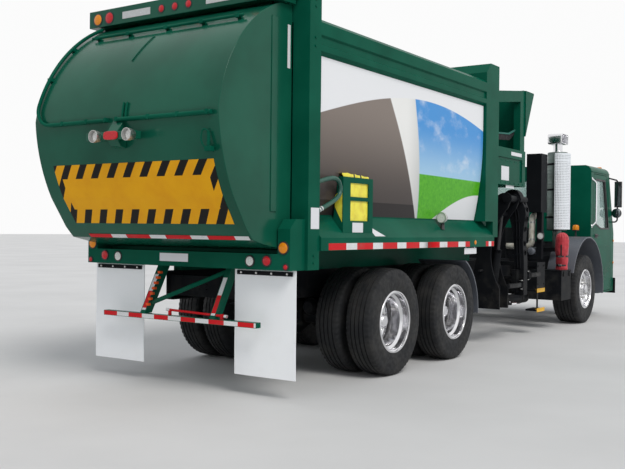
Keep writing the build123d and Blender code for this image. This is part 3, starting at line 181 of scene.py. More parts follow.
@dataclass
class Sculpt:
    """Collects surfaces and turns them into one piece."""

    points: list[Array] = field(default_factory=list)
    faces: list[list[int]] = field(default_factory=list)
    finishes: list[int] = field(default_factory=list)
    count: int = 0

    def add(self, points: Array, faces: list[list[int]], finish: int) -> None:
        """Keep points and the faces that count from their first one."""
        self.points.append(points.reshape(-1, 3))
        self.faces.extend((np.array(f) + self.count).tolist() for f in faces)
        self.finishes.extend([finish] * len(faces))
        self.count += len(self.points[-1])

    def caps(self, first: int, last: int, sides: int, low: int = 0, high: int = 0) -> None:
        """Close the two ends of a tube whose first and last rings start at these points."""
        self.faces.extend([list(range(first, first + sides))[::-1], list(range(last, last + sides))])
        self.finishes.extend([low, high])

    def grid(self, grid: Array, close_u: bool = False, close_v: bool = False, finish: int = 0) -> None:
        """Quads between the neighbours of a grid, with either direction closed on itself."""
        rows, columns = grid.shape[:2]
        index = np.arange(rows * columns).reshape(rows, columns) + self.count
        if close_u:
            index = np.vstack([index, index[:1]])
        if close_v:
            index = np.hstack([index, index[:, :1]])
        quads = np.stack([index[:-1, :-1], index[1:, :-1], index[1:, 1:], index[:-1, 1:]], -1)
        self.points.append(grid.reshape(-1, 3))
        self.faces.extend(quads.reshape(-1, 4).tolist())
        self.finishes.extend([finish] * (quads.size // 4))
        self.count += rows * columns

    def slab(self, grid: Array, thickness: float, lift: float = 0.0,
             out: Sequence[float] | None = None) -> None:
        """A sheet of a thickness on a grid, lifted off it along its normals, with closed edges.

        Args:
            grid: points, rows by columns by three.
            thickness: how thick the sheet is.
            lift: gap between the grid and the sheet.
            out: a direction off the surface; the normals are turned to agree with it.
        """
        if out is not None:
            across = np.cross(grid[1, 0] - grid[0, 0], grid[0, 1] - grid[0, 0])
            grid = grid if across @ np.array(out, float) > 0 else grid[:, ::-1]
        low = shift_normals(grid, lift)
        high = shift_normals(grid, lift + thickness)
        ring = [low[0], low[:, -1], low[-1][::-1], low[:, 0][::-1]]
        top = [high[0], high[:, -1], high[-1][::-1], high[:, 0][::-1]]
        self.grid(high)
        self.grid(low[::-1])
        self.grid(np.stack([np.vstack(ring), np.vstack(top)]), close_v=True)

    def lathe(self, outline: Outline, centre: Sequence[float], axis: str = "y", steps: int = 96,
              finish: int = 0, closed: bool = True) -> None:
        """Turn rows of (along the axis, radius) about an axis: a point is at (a, r cos, r sin)."""
        profile = np.array(outline, float)
        turn = np.linspace(0, 2 * math.pi, steps, endpoint=False)
        along = np.broadcast_to(profile[:, 0], (steps, len(profile)))
        across = np.outer(np.cos(turn), profile[:, 1])
        up = np.outer(np.sin(turn), profile[:, 1])
        order = {"x": (along, across, up), "y": (across, along, up), "z": (across, up, along)}[axis]
        self.grid(np.stack(order, -1) + np.array(centre, float), True, closed, finish)

    def band(self, centre: Sequence[float], axis: str, half: float, inner: float, outer: float,
             steps: int = 48, finish: int = 0) -> None:
        """A ring about an axis, half its width each way from its centre and between two radii."""
        outline = [(-half, inner), (-half, outer), (half, outer), (half, inner)]
        self.lathe(outline, centre, axis, steps, finish)

    def heads(self, places: Array, out: Array, radius: float, finish: int = 0) -> None:
        """A six-sided bolt head on each place, as tall as the vector out."""
        self.rods(places, places + out, radius, 6, finish)

    def tube(self, path: Array, radius: float, sides: int = 12) -> None:
        """A round tube along a path with closed ends."""
        side, up = frames_along(path)
        turn = np.linspace(0, 2 * math.pi, sides, endpoint=False)
        ring = np.cos(turn)[None, :, None] * side[:, None] + np.sin(turn)[None, :, None] * up[:, None]
        grid = path[:, None] + radius * ring
        ends = [list(range(sides)), list(range(len(path) * sides - 1, (len(path) - 1) * sides - 1, -1))]
        start = self.count
        self.grid(grid, close_v=True)
        self.faces.extend([[start + i for i in end] for end in ends])
        self.finishes.extend([0, 0])

    def prism(self, outline: Outline, plane: str, low: float, high: float, finish: int = 0) -> None:
        """A flat outline swept between two offsets: plane xz along Y or yz along X."""
        flat = np.array(outline, float)
        levels = [np.insert(flat, {"xz": 1, "yz": 0}[plane], v, axis=1) for v in (low, high)]
        n = len(flat)
        sides = [[i, (i + 1) % n, n + (i + 1) % n, n + i] for i in range(n)]
        self.add(np.vstack(levels), sides + [list(range(n))[::-1], list(range(n, 2 * n))], finish)

    def boxes(self, lows: Array, highs: Array, finish: int = 0) -> None:
        """A box between each pair of opposite corners, all worked out as one array."""
        lows, highs = (take(np.atleast_2d(lows), np.atleast_2d(highs)) for take in (np.minimum, np.maximum))
        pick = np.array([[i & 1, i >> 1 & 1, i >> 2 & 1] for i in range(8)])
        corners = np.where(pick[None], highs[:, None], lows[:, None])
        faces = np.array([[0, 2, 3, 1], [4, 5, 7, 6], [0, 1, 5, 4], [2, 6, 7, 3], [0, 4, 6, 2], [1, 3, 7, 5]])
        every = faces[None] + 8 * np.arange(len(lows))[:, None, None]
        self.add(corners, every.reshape(-1, 4).tolist(), finish)

    def rods(self, starts: Array, ends: Array, radius: float, sides: int = 12, finish: int = 0,
             taper: float = 1.0) -> None:
        """A straight rod between each pair of points; taper scales the far end's radius."""
        starts = np.atleast_2d(np.array(starts, float))
        ends = np.atleast_2d(np.array(ends, float))
        axis = ends - starts
        axis /= np.linalg.norm(axis, axis=1, keepdims=True)
        helper = np.where(np.abs(axis[:, 2:3]) > 0.9, row(1, 0, 0), row(0, 0, 1))
        side = np.cross(axis, helper)
        side /= np.linalg.norm(side, axis=1, keepdims=True)
        up = np.cross(axis, side)
        turn = np.linspace(0, 2 * math.pi, sides, endpoint=False)
        ring = np.cos(turn)[None, :, None] * side[:, None] + np.sin(turn)[None, :, None] * up[:, None]
        grid = np.stack([starts[:, None] + radius * ring, ends[:, None] + radius * taper * ring], 1)
        low = np.arange(sides)
        quads = np.stack([low, np.roll(low, -1), np.roll(low, -1) + sides, low + sides], -1).tolist()
        one = quads + [low[::-1].tolist(), (low + sides).tolist()]
        for i in range(len(starts)):
            self.add(grid[i], one, finish)

    def domes(self, centres: Array, radius: float, height: float, direction: Sequence[float],
              sides: int = 24) -> None:
        """A shallow round cap on each centre: radius r cos t and height h sin t, t up to 90 degrees."""
        axis = np.array(direction, float)
        helper = row(0, 0, 1) if abs(axis[2]) < 0.9 else row(1, 0, 0)
        side = np.cross(axis, helper)
        side /= np.linalg.norm(side)
        up = np.cross(axis, side)
        turn = np.linspace(0, 2 * math.pi, sides, endpoint=False)
        steps = 7
        rise = np.linspace(0, math.pi / 2 * 0.96, steps)
        ring = np.cos(turn)[:, None] * side + np.sin(turn)[:, None] * up
        for centre in np.atleast_2d(centres):
            around = radius * np.cos(rise)[:, None, None] * ring
            grid = centre + around + height * np.sin(rise)[:, None, None] * axis
            start = self.count
            self.grid(grid, close_v=True)
            self.caps(start, start + (steps - 1) * sides, sides)

    def finish(self, name: str, looks: str | bpy.types.Material, body: str = "chassis", slot: str = "",
               replaces: Sequence[str] = (), bevel: float = 0.0, smooth_angle: float = 40.0,
               sheet: float = 0.0) -> bpy.types.Object:
        """Make the piece, turn its faces outwards and hang it on its body.

        Args:
            name: the piece's name.
            looks: a material, or the name of a finish for each finish number used, with spaces between.
            body: the body that it rides on.
            slot: the record's material slot, or nothing for the usual one of the first finish; worked out but
                not used.
            replaces: nodes that it stands for.
            bevel: width of a bevel on its hard edges, or 0.
            smooth_angle: edges under this many degrees are shaded smooth.
            sheet: thickness given inwards to an open sheet whose faces already point outwards, or 0.

        Returns:
            The new object.
        """
        mesh = bpy.data.meshes.new(name)
        mesh.from_pydata(np.vstack(self.points).tolist(), [], self.faces)
        mesh.polygons.foreach_set("material_index", np.array(self.finishes, np.int32))
        named = looks.split() if isinstance(looks, str) else []
        for material in [look(key) for key in named] or [looks]:
            mesh.materials.append(material)
        slot = slot or FINISHES[named[0]][1]
        shell = bmesh.new()
        shell.from_mesh(mesh)
        bmesh.ops.remove_doubles(shell, verts=shell.verts, dist=1e-6)
        if not sheet:
            bmesh.ops.recalc_face_normals(shell, faces=shell.faces)
        shell.to_mesh(mesh)
        shell.free()
        mesh.polygons.foreach_set("use_smooth", np.ones(len(mesh.polygons), bool))
        mesh.set_sharp_from_angle(angle=math.radians(smooth_angle))
        piece = bpy.data.objects.new(name, mesh)
        bpy.context.scene.collection.objects.link(piece)
        if sheet:
            wall = piece.modifiers.new("wall", "SOLIDIFY")
            wall.thickness = sheet
            wall.offset = -1.0
        if bevel:
            edge = piece.modifiers.new("edges", "BEVEL")
            edge.width = bevel
            edge.segments = 2
            edge.limit_method = "ANGLE"
            edge.angle_limit = math.radians(40)
        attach(piece, body)
        if replaces:
            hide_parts(*replaces)
        LOG.info("%s: %d faces on %s", name, len(self.faces), body)
        return piece


# Finishes


class Graph:
    """Builds the node tree of one material, with a few words for each kind of node."""

    def __init__(self, name: str) -> None:
        """Start an empty tree with its shader and output."""
        self.material = bpy.data.materials.new(name)
        self.material.use_nodes = True
        self.tree = self.material.node_tree
        self.tree.nodes.clear()
        self.shader = self.node("ShaderNodeBsdfPrincipled")
        out = self.node("ShaderNodeOutputMaterial")
        self.link(self.shader.outputs["BSDF"], out.inputs["Surface"])
        self.place = self.node("ShaderNodeTexCoord").outputs["Object"]

    def node(self, kind: str) -> bpy.types.Node:
        """Add a node of a kind."""
        return self.tree.nodes.new(kind)

    def link(self, source: bpy.types.NodeSocket, target: bpy.types.NodeSocket) -> None:
        """Join two sockets."""
        self.tree.links.new(source, target)

    def put(self, value: object, target: bpy.types.NodeSocket) -> None:
        """Link a socket into a target, or set the target's own value."""
        if isinstance(value, bpy.types.NodeSocket):
            self.link(value, target)
        else:
            target.default_value = value

    def math(self, operation: str, a: object, b: object = 0.0) -> bpy.types.NodeSocket:
        """One arithmetic step."""
        step = self.node("ShaderNodeMath")
        step.operation = operation
        self.put(a, step.inputs[0])
        self.put(b, step.inputs[1])
        return step.outputs[0]

    def times(self, *values: object) -> bpy.types.NodeSocket:
        """The product of sockets and numbers."""
        return reduce(lambda a, b: self.math("MULTIPLY", a, b), values)

    def axes(self) -> list[bpy.types.NodeSocket]:
        """The three object coordinates one by one."""
        split = self.node("ShaderNodeSeparateXYZ")
        self.link(self.place, split.inputs[0])
        return list(split.outputs)

    def noise(self, scale: float, detail: float,
              stretch: Sequence[float] = (1, 1, 1)) -> bpy.types.NodeSocket:
        """Fractal noise from 0 to 1, over object coordinates that are stretched along each axis."""
        mapping = self.node("ShaderNodeMapping")
        mapping.inputs["Scale"].default_value = stretch
        self.link(self.place, mapping.inputs["Vector"])
        noise = self.node("ShaderNodeTexNoise")
        noise.inputs["Scale"].default_value = scale
        noise.inputs["Detail"].default_value = detail
        noise.inputs["Roughness"].default_value = 0.55
        self.link(mapping.outputs[0], noise.inputs["Vector"])
        return noise.outputs["Fac"]

    def span(self, value: object, low: float, high: float, to_low: float = 0.0,
             to_high: float = 1.0) -> bpy.types.NodeSocket:
        """Carry a value from one range to another, smoothly and held at the ends."""
        change = self.node("ShaderNodeMapRange")
        change.interpolation_type = "SMOOTHSTEP"
        self.put(value, change.inputs["Value"])
        for name, number in zip(("From Min", "From Max", "To Min", "To Max"), (low, high, to_low, to_high)):
            change.inputs[name].default_value = number
        return change.outputs[0]

    def blend(self, share: object, first: object, second: object) -> bpy.types.NodeSocket:
        """Mix two colours by a share."""
        mix = self.node("ShaderNodeMix")
        mix.data_type = "RGBA"
        self.put(share, mix.inputs[0])
        for value, target in ((first, mix.inputs[6]), (second, mix.inputs[7])):
            self.put(value if isinstance(value, bpy.types.NodeSocket) else (*value, 1.0), target)
        return mix.outputs[2]

    def bump(self, height: object, strength: float, distance: float) -> None:
        """Give the shader a bumped normal, on top of the last one."""
        bump = self.node("ShaderNodeBump")
        bump.inputs["Strength"].default_value = strength
        bump.inputs["Distance"].default_value = distance
        self.put(height, bump.inputs["Height"])
        before = self.shader.inputs["Normal"].links
        if before:
            self.link(before[0].from_socket, bump.inputs["Normal"])
        self.link(bump.outputs[0], self.shader.inputs["Normal"])

    def colour(self, value: object) -> None:
        """Set or link the base colour."""
        flat = value if isinstance(value, bpy.types.NodeSocket) else (*value, 1.0)
        self.put(flat, self.shader.inputs["Base Color"])

    def rough(self, value: bpy.types.NodeSocket) -> None:
        """Link the roughness."""
        self.link(value, self.shader.inputs["Roughness"])

    def set(self, **values: float) -> None:
        """Set sockets of the shader by name, with underscores for spaces."""
        for name, value in values.items():
            self.shader.inputs[name.replace("_", " ")].default_value = value


@dataclass(frozen=True)
class Paint:
    """Sprayed enamel: faint colour drift, orange peel and road dust under a height; a coat is optional."""

    name: str
    colour: Colour
    dust: Colour = (0.16, 0.15, 0.13)
    roughness: float = 0.24
    coat: float = 0.0
    metallic: float = 0.0
    level: float = 0.03
    dust_top: float = 1.25
    dust_share: float = 0.3

    def material(self) -> bpy.types.Material:
        """Build the material."""
        g = Graph(self.name)
        drift = g.noise(1.7, 3)
        deep = tuple(c * 0.86 for c in self.colour)
        pale = tuple(min(1.0, c * 1.12 + 0.002) for c in self.colour)
        base = g.blend(g.span(drift, 0.3, 0.7), deep, pale)
        height = g.axes()[2]
        low = g.span(height, self.dust_top, 0.25)
        patches = g.span(g.noise(6.5, 6), 0.42, 0.72)
        share = g.times(low, patches, self.dust_share)
        g.colour(g.blend(share, base, self.dust))
        g.rough(g.math("ADD", g.times(share, 0.5), self.roughness))
        g.set(Metallic=self.metallic, Coat_Weight=self.coat, Coat_Roughness=0.05, IOR=1.5,
              Specular_IOR_Level=self.level)
        g.bump(g.noise(260.0, 2), 0.03, 0.0004)
        g.bump(g.noise(1.3, 1), 0.05, 0.006)
        return g.material


@dataclass(frozen=True)
class Moulded:
    """Moulded plastic or rubber: fine grain, scuffs and dust low down."""

    name: str
    colour: Colour
    pale: Colour
    grain: float = 900.0
    grain_depth: float = 0.0004
    roughness: float = 0.55
    scuff: float = 0.35

    def material(self) -> bpy.types.Material:
        """Build the material."""
        g = Graph(self.name)
        patches = g.span(g.noise(9.0, 7), 0.45, 0.8)
        low = g.span(g.axes()[2], 1.1, 0.1, 0.3, 1.0)
        share = g.times(patches, low, self.scuff)
        g.colour(g.blend(share, self.colour, self.pale))
        g.rough(g.span(g.noise(30.0, 3), 0.3, 0.7, self.roughness - 0.08, self.roughness + 0.1))
        g.bump(g.noise(self.grain, 2), 0.35, self.grain_depth)
        return g.material


@dataclass(frozen=True)
class Metal:
    """Bare or plated metal, brushed along one axis and stained in patches."""

    name: str
    colour: Colour
    stain: Colour
    roughness: float = 0.25
    brush: tuple[float, float, float] = (8.0, 8.0, 160.0)
    stain_share: float = 0.4
    metallic: float = 1.0

    def material(self) -> bpy.types.Material:
        """Build the material."""
        g = Graph(self.name)
        stains = g.span(g.noise(5.0, 6), 0.5, 0.8)
        g.colour(g.blend(g.times(stains, self.stain_share), self.colour, self.stain))
        lines = g.noise(1.0, 2, self.brush)
        g.rough(g.span(lines, 0.2, 0.8, self.roughness * 0.7, self.roughness * 1.5))
        g.set(Metallic=self.metallic)
        g.bump(lines, 0.12, 0.0006)
        return g.material


@dataclass(frozen=True)
class Rubber:
    """Tyre rubber: dark with grey road dust on the tread and faint moulding rings."""

    name: str
    colour: Colour = (0.014, 0.015, 0.017)
    dust: Colour = (0.075, 0.07, 0.062)

    def material(self) -> bpy.types.Material:
        """Build the material."""
        g = Graph(self.name)
        patches = g.span(g.noise(5.5, 6), 0.35, 0.8)
        g.colour(g.blend(g.times(patches, 0.30), self.colour, self.dust))
        g.rough(g.span(g.noise(24.0, 3), 0.3, 0.7, 0.55, 0.8))
        g.set(Specular_IOR_Level=0.25)
        g.bump(g.noise(420.0, 3), 0.3, 0.0006)
        return g.material


@dataclass(frozen=True)
class Lens:
    """Coloured lamp lens with fine moulded optics behind a smooth face."""

    name: str
    colour: Colour
    glow: float = 0.22

    def material(self) -> bpy.types.Material:
        """Build the material."""
        g = Graph(self.name)
        cells = g.node("ShaderNodeTexVoronoi")
        cells.inputs["Scale"].default_value = 170.0
        g.link(g.place, cells.inputs["Vector"])
        facet = g.span(cells.outputs["Distance"], 0.0, 0.7)
        g.colour(g.blend(facet, self.colour, tuple(c * 0.55 for c in self.colour)))
        g.set(Roughness=0.2, Coat_Weight=0.25, Coat_Roughness=0.05, Specular_IOR_Level=0.2,
              Emission_Strength=self.glow)
        g.shader.inputs["Emission Color"].default_value = (*self.colour, 1.0)
        g.bump(cells.outputs["Distance"], 0.2, 0.001)
        return g.material


@dataclass(frozen=True)
class Reflector:
    """Retroreflective sheet: flat colour under a honeycomb of tiny cells."""

    name: str
    colour: Colour

    def material(self) -> bpy.types.Material:
        """Build the material."""
        g = Graph(self.name)
        cells = g.node("ShaderNodeTexVoronoi")
        cells.feature = "DISTANCE_TO_EDGE"
        cells.inputs["Scale"].default_value = 210.0
        cells.inputs["Randomness"].default_value = 0.12
        g.link(g.place, cells.inputs["Vector"])
        edge = g.span(cells.outputs["Distance"], 0.02, 0.10)
        tone = g.blend(edge, tuple(c * 0.72 for c in self.colour), self.colour)
        grime = g.times(g.span(g.noise(7.0, 5), 0.5, 0.85), 0.3)
        g.colour(g.blend(grime, tone, (0.22, 0.2, 0.17)))
        g.set(Roughness=0.4, Specular_IOR_Level=0.12)
        return g.material


@dataclass(frozen=True)
class Woven:
    """Coated cloth: a plain weave with creases and soft colour drift."""

    name: str
    colour: Colour
    shade: Colour
    threads: float = 700.0
    roughness: float = 0.5

    def material(self) -> bpy.types.Material:
        """Build the material."""
        g = Graph(self.name)
        x, y, z = g.axes()
        across = g.math("SINE", g.times(g.math("ADD", x, y), self.threads))
        along = g.math("SINE", g.times(z, self.threads))
        weave = g.times(across, along)
        g.colour(g.blend(g.span(g.noise(11.0, 5), 0.35, 0.7), self.colour, self.shade))
        g.set(Roughness=self.roughness, Sheen_Weight=0.2, Sheen_Roughness=0.4)
        g.bump(weave, 0.25, 0.0008)
        g.bump(g.noise(14.0, 3), 0.5, 0.012)
        return g.material


@dataclass(frozen=True)
class Pane:
    """Window glass, faintly tinted, with a film of dust."""

    name: str
    colour: Colour = (0.55, 0.66, 0.64)

    def material(self) -> bpy.types.Material:
        """Build the material."""
        g = Graph(self.name)
        g.colour(self.colour)
        g.set(Transmission_Weight=0.92, IOR=1.45)
        g.rough(g.span(g.noise(4.0, 5), 0.4, 0.8, 0.02, 0.09))
        return g.material


@dataclass(frozen=True)
class PrintedPanel:
    """Plain printed side sheet: white head, a taupe field fading into sky blue, and a green foot.

    The borders are sine waves of the station, so the height of each is a level plus a swing
    times the sine of the distance along the truck.
    """

    name: str
    back: float
    front: float
    foot: float
    head: float

    def material(self) -> bpy.types.Material:
        """Build the material."""
        g = Graph(self.name)
        x, _, z = g.axes()
        u = g.math("DIVIDE", g.math("SUBTRACT", x, self.back), self.front - self.back)
        v = g.math("DIVIDE", g.math("SUBTRACT", z, self.foot), self.head - self.foot)

        def wave(level: float, swing: float, turns: float, start: float) -> bpy.types.NodeSocket:
            """Height of a border along the sheet."""
            angle = g.math("MULTIPLY_ADD", u, turns * 2 * math.pi)
            angle.node.inputs[2].default_value = start
            return g.math("ADD", g.times(g.math("SINE", angle), swing), level)

        def above(border: bpy.types.NodeSocket, soft: float) -> bpy.types.NodeSocket:
            """Share that is 1 above a border, with a soft edge."""
            return g.span(g.math("SUBTRACT", v, border), -soft, soft)

        def under(border: bpy.types.NodeSocket) -> bpy.types.NodeSocket:
            """Share that is 1 under a border, with a soft edge."""
            return g.math("SUBTRACT", 1.0, above(border, 0.004))

        cloud = g.span(g.noise(2.6, 6, (1, 1, 1.7)), 0.50, 0.78)
        sky = g.blend(g.span(v, 0.25, 0.75), (0.42, 0.66, 0.86), (0.06, 0.30, 0.70))
        sky = g.blend(g.times(cloud, 0.55), sky, (0.86, 0.9, 0.95))
        earth = g.blend(g.span(v, 0.05, 0.8), (0.075, 0.062, 0.058), (0.24, 0.2, 0.175))
        slant = g.math("ADD", u, g.times(v, 0.25))
        ribbon = g.span(slant, 0.560, 0.566)
        open_sky = g.span(g.math("ADD", u, g.times(v, 0.086)), 0.574, 0.580)
        tone = g.blend(ribbon, earth, g.blend(g.span(u, 0.44, 0.58), (0.86, 0.86, 0.84), (0.60, 0.61, 0.60)))
        tone = g.blend(open_sky, tone, sky)
        grass = g.blend(g.noise(30.0, 5), (0.03, 0.28, 0.01), (0.16, 0.60, 0.03))
        green = g.times(under(wave(0.333, 0.006, 0.5, 0.0)), open_sky)
        tone = g.blend(green, tone, grass)
        hill = under(wave(-0.085, 0.30, 0.638, -2.44))
        tone = g.blend(g.times(hill, g.span(u, 0.620, 0.625)), tone, (0.80, 0.81, 0.83))
        dark = g.times(under(wave(0.10, 0.0, 1.0, 0.0)), g.span(slant, 0.566, 0.561))
        tone = g.blend(dark, tone, (0.03, 0.025, 0.025))
        tone = g.blend(above(wave(0.60, 0.30, 0.378, 0.147), 0.003), tone, (0.84, 0.85, 0.87))
        g.colour(tone)
        g.set(Roughness=0.25, Specular_IOR_Level=0.12)
        g.bump(g.noise(1.4, 2), 0.12, 0.01)
        return g.material


@dataclass(frozen=True)
class HazardPanel:
    """Yellow sheet with a frame of black bars that all lean the same way.

    A bar is black where the fraction of (side + lean * height) / pitch is under a share. The frame
    is given by its width along the head and foot, and the one along the ends.
    """

    name: str
    left: float
    right: float
    foot: float
    head: float
    pitch: float = 0.192
    lean: float = 0.85
    black_share: float = 0.46
    border: tuple[float, float] = (0.118, 0.075)

    def material(self) -> bpy.types.Material:
        """Build the material."""
        g = Graph(self.name)
        _, y, z = g.axes()
        rise = g.math("ABSOLUTE", g.math("SUBTRACT", z, (self.foot + self.head) / 2))
        side = g.math("ABSOLUTE", g.math("SUBTRACT", y, (self.left + self.right) / 2))
        run = g.math("DIVIDE", g.math("ADD", y, g.times(z, self.lean)), self.pitch)
        bars = g.math("LESS_THAN", g.math("FRACT", g.math("ADD", run, 40.0)), self.black_share)
        high, wide = self.border
        outside = g.math("GREATER_THAN", rise, (self.head - self.foot) / 2 - high)
        ends = g.math("GREATER_THAN", side, abs(self.left - self.right) / 2 - wide)
        share = g.times(bars, g.math("MAXIMUM", outside, ends))
        yellow = g.blend(g.span(g.noise(5.0, 4), 0.3, 0.75), (0.86, 0.42, 0.008), (0.80, 0.36, 0.008))
        g.colour(g.blend(share, yellow, (0.012, 0.011, 0.010)))
        g.set(Roughness=0.4, Specular_IOR_Level=0.1)
        return g.material


Recipe = Paint | Moulded | Metal | Rubber | Lens | Reflector | Woven | Pane

# Each finish by name: its recipe, and the record's slot that its pieces usually belong to.
FINISHES: dict[str, tuple[Recipe, str]] = {
    "green": (Paint("green enamel", (0.002, 0.088, 0.052)), "green_paint"),
    "black": (Paint("black enamel", (0.009, 0.010, 0.012), roughness=0.4, dust_share=0.2), "black_paint"),
    # A lighter teal copy of the green paint, with road dust: painted light for the lit, sky-reflecting inner
    # sheets of the hopper's mouth.
    "chute": (Paint("chute enamel painted lit and worn", (0.045, 0.17, 0.14), dust=(0.2, 0.22, 0.21), roughness=0.45),
              "green_paint"),
    "gloss": (Paint("green enamel polished", (0.0035, 0.085, 0.050), roughness=0.22, coat=0.05, level=0.18),
              "green_paint"),
    "packer": (Metal("packer steel worn", (0.06, 0.10, 0.085), (0.10, 0.075, 0.05), 0.5, metallic=0.6),
               "packer_steel"),
    "rubber": (Rubber("tyre rubber"), "tyre"),
    "polished": (Metal("polished alloy", (0.78, 0.78, 0.80), (0.5, 0.5, 0.5), 0.16, stain_share=0.25),
                 "polished"),
    "chrome": (Metal("chrome", (0.86, 0.86, 0.88), (0.6, 0.6, 0.6), 0.07, stain_share=0.1), "polished"),
    "zinc": (Metal("zinc bolts", (0.55, 0.55, 0.54), (0.3, 0.28, 0.25), 0.35), "polished"),
    "flap": (Moulded("white flap sheet", (0.93, 0.95, 0.97), (0.80, 0.80, 0.78), 220.0, 0.0004, 0.5, 0.2),
             "flap_white"),
    "plastic": (Moulded("grey moulded plastic", (0.095, 0.105, 0.125), (0.18, 0.18, 0.18), 700.0, 0.0006,
                        0.48), "trim_grey"),
    "trim": (Moulded("black trim", (0.016, 0.016, 0.018), (0.09, 0.085, 0.08), 900.0, 0.0004, 0.5),
             "trim_grey"),
    "interior": (Moulded("cab trim grey", (0.07, 0.075, 0.085), (0.12, 0.12, 0.12), 500.0, 0.0006, 0.7),
                 "trim_grey"),
    "can": (Metal("silencer steel", (0.13, 0.165, 0.155), (0.07, 0.06, 0.045), 0.42, (4, 4, 60), 0.5),
            "exhaust_steel"),
    "shield": (Metal("pressed shield", (0.84, 0.88, 0.92), (0.68, 0.70, 0.70), 0.4, (40, 40, 8), 0.3, 0.2),
               "shield_steel"),
    "wrap": (Woven("cream pipe wrap", (0.72, 0.70, 0.62), (0.5, 0.46, 0.38), 300.0, 0.8), "exhaust_steel"),
    "bag": (Woven("yellow vinyl cloth", (0.95, 0.86, 0.07), (0.80, 0.66, 0.04)), "yellow_bag"),
    "canvas": (Woven("red canvas", (0.56, 0.04, 0.055), (0.36, 0.02, 0.03), 520.0, 0.6), "red_cover"),
    "glass": (Pane("window glass"), "glass"),
    "mirror": (Metal("mirror glass", (0.16, 0.18, 0.19), (0.12, 0.12, 0.12), 0.03, stain_share=0.1),
               "polished"),
    "red": (Lens("red lens", (0.55, 0.012, 0.02)), "lens_red"),
    "amber": (Lens("amber lens", (0.80, 0.26, 0.008)), "lens_amber"),
    "clear": (Lens("clear lens", (0.80, 0.80, 0.78), 0.15), "lens_clear"),
    "tape_red": (Reflector("red reflective tape", (0.66, 0.012, 0.018)), "lens_red"),
    "tape_white": (Reflector("white reflective tape", (0.78, 0.79, 0.80)), "flap_white"),
    "plate": (Moulded("blank white plate", (0.74, 0.75, 0.78), (0.55, 0.53, 0.5), 300.0, 0.0001, 0.4, 0.2),
              "flap_white"),
    "orange": (Paint("orange enamel", (0.75, 0.10, 0.02), roughness=0.4), "lens_amber"),
    "yellow": (Paint("yellow step enamel", (0.78, 0.42, 0.01), roughness=0.4, coat=0.4), "yellow_bag"),
    "hose": (Moulded("black hose", (0.012, 0.012, 0.013), (0.06, 0.06, 0.06), 600.0, 0.0008, 0.45),
             "black_paint"),
    "green_hose": (Moulded("green sleeved hose", (0.010, 0.085, 0.060), (0.03, 0.12, 0.09), 420.0, 0.0012,
                           0.35), "hose_green"),
    # Matt black sheet that closes the outlet's mouth: painted shade standing for the dark inside of the pipe.
    "dark": (Paint("painted bore shade", (0.003, 0.003, 0.003), (0.008, 0.008, 0.008), roughness=0.95, level=0.0),
             "black_paint"),
}


@cache
def look(name: str) -> bpy.types.Material:
    """The material of a named finish, built the first time it is asked for."""
    return FINISHES[name][0].material()


class Side(Enum):
    """The two sides of the truck."""

    LEFT = 1
    RIGHT = -1

    @property
    def word(self) -> str:
        """The side's plain name."""
        return self.name.lower()


# Wheels


@dataclass
class Tyre:
    """A radial truck tyre with ribs, shoulder slots and a shaped sidewall."""

    radius: float
    width: float
    station: float
    centre_y: float
    bead: float = 0.290
    shoulder: float = 0.075
    grooves: tuple[float, ...] = (-0.62, -0.21, 0.21, 0.62)
    groove_width: float = 0.013
    groove_depth: float = 0.014
    slots: int = 60
    steps: int = 240

    def profile(self) -> Array:
        """Section of a sidewall, as half width and radius.

        The half width is 0.87 + 0.13 sin(a / 0.31) of the whole and the radius grows as a^1.05,
        for an angle a; over the shoulder's foot the width shrinks with the square of the rise.
        """
        angle = np.linspace(0.0, 0.31 * math.pi, 12)
        half = self.width / 2
        out = half * np.clip(0.87 + 0.13 * np.sin(angle / 0.31), 0, 1)
        up = self.bead + (self.radius - self.bead - 0.012) * (angle / angle[-1]) ** 1.05
        foot = self.radius - self.shoulder
        round_off = 0.018 * ((up - self.radius + self.shoulder) / 0.063) ** 2
        return np.stack([np.where(up > foot, half - round_off, out), up], -1)

    def tread(self) -> Array:
        """Crown line from one shoulder to the other, with a flat-bottomed groove at each place."""
        reach = self.width / 2 - 0.030
        cuts = []
        edge = self.groove_width / 2
        for place in self.grooves:
            x = place * reach
            cuts.append([(x - edge, 0), (x - edge * 0.6, 1), (x + edge * 0.6, 1), (x + edge, 0)])
        flat = np.array([(-reach, 0)] + [p for cut in cuts for p in cut] + [(reach, 0)])
        crown = self.radius - 0.006 * (flat[:, 0] / reach) ** 2
        return np.stack([flat[:, 0], crown - self.groove_depth * flat[:, 1]], -1)

    def surface(self) -> Array:
        """Closed grid of the tyre: the section turned about the axle, its shoulders slotted."""
        wall = self.profile()
        toe, inner = wall[0, 0] - 0.03, self.bead - 0.002
        section = np.vstack([wall * row(-1, 1), self.tread(), wall[::-1], [(toe, inner), (-toe, inner)]])
        turn = np.linspace(0, 2 * math.pi, self.steps, endpoint=False)
        phase = (np.arange(self.steps) * self.slots / self.steps) % 1.0
        slot = (phase < 0.26)[:, None]
        shoulder = (np.abs(section[:, 0]) > 0.62 * self.width / 2) & (section[:, 1] > self.radius - 0.030)
        radius = section[:, 1] - 0.007 * (slot & shoulder[None])
        along = np.broadcast_to(section[:, 0] + self.centre_y, radius.shape)
        x = at(self.station) + radius * np.cos(turn)[:, None]
        z = self.radius + radius * np.sin(turn)[:, None]
        return np.stack([x, along, z], -1)


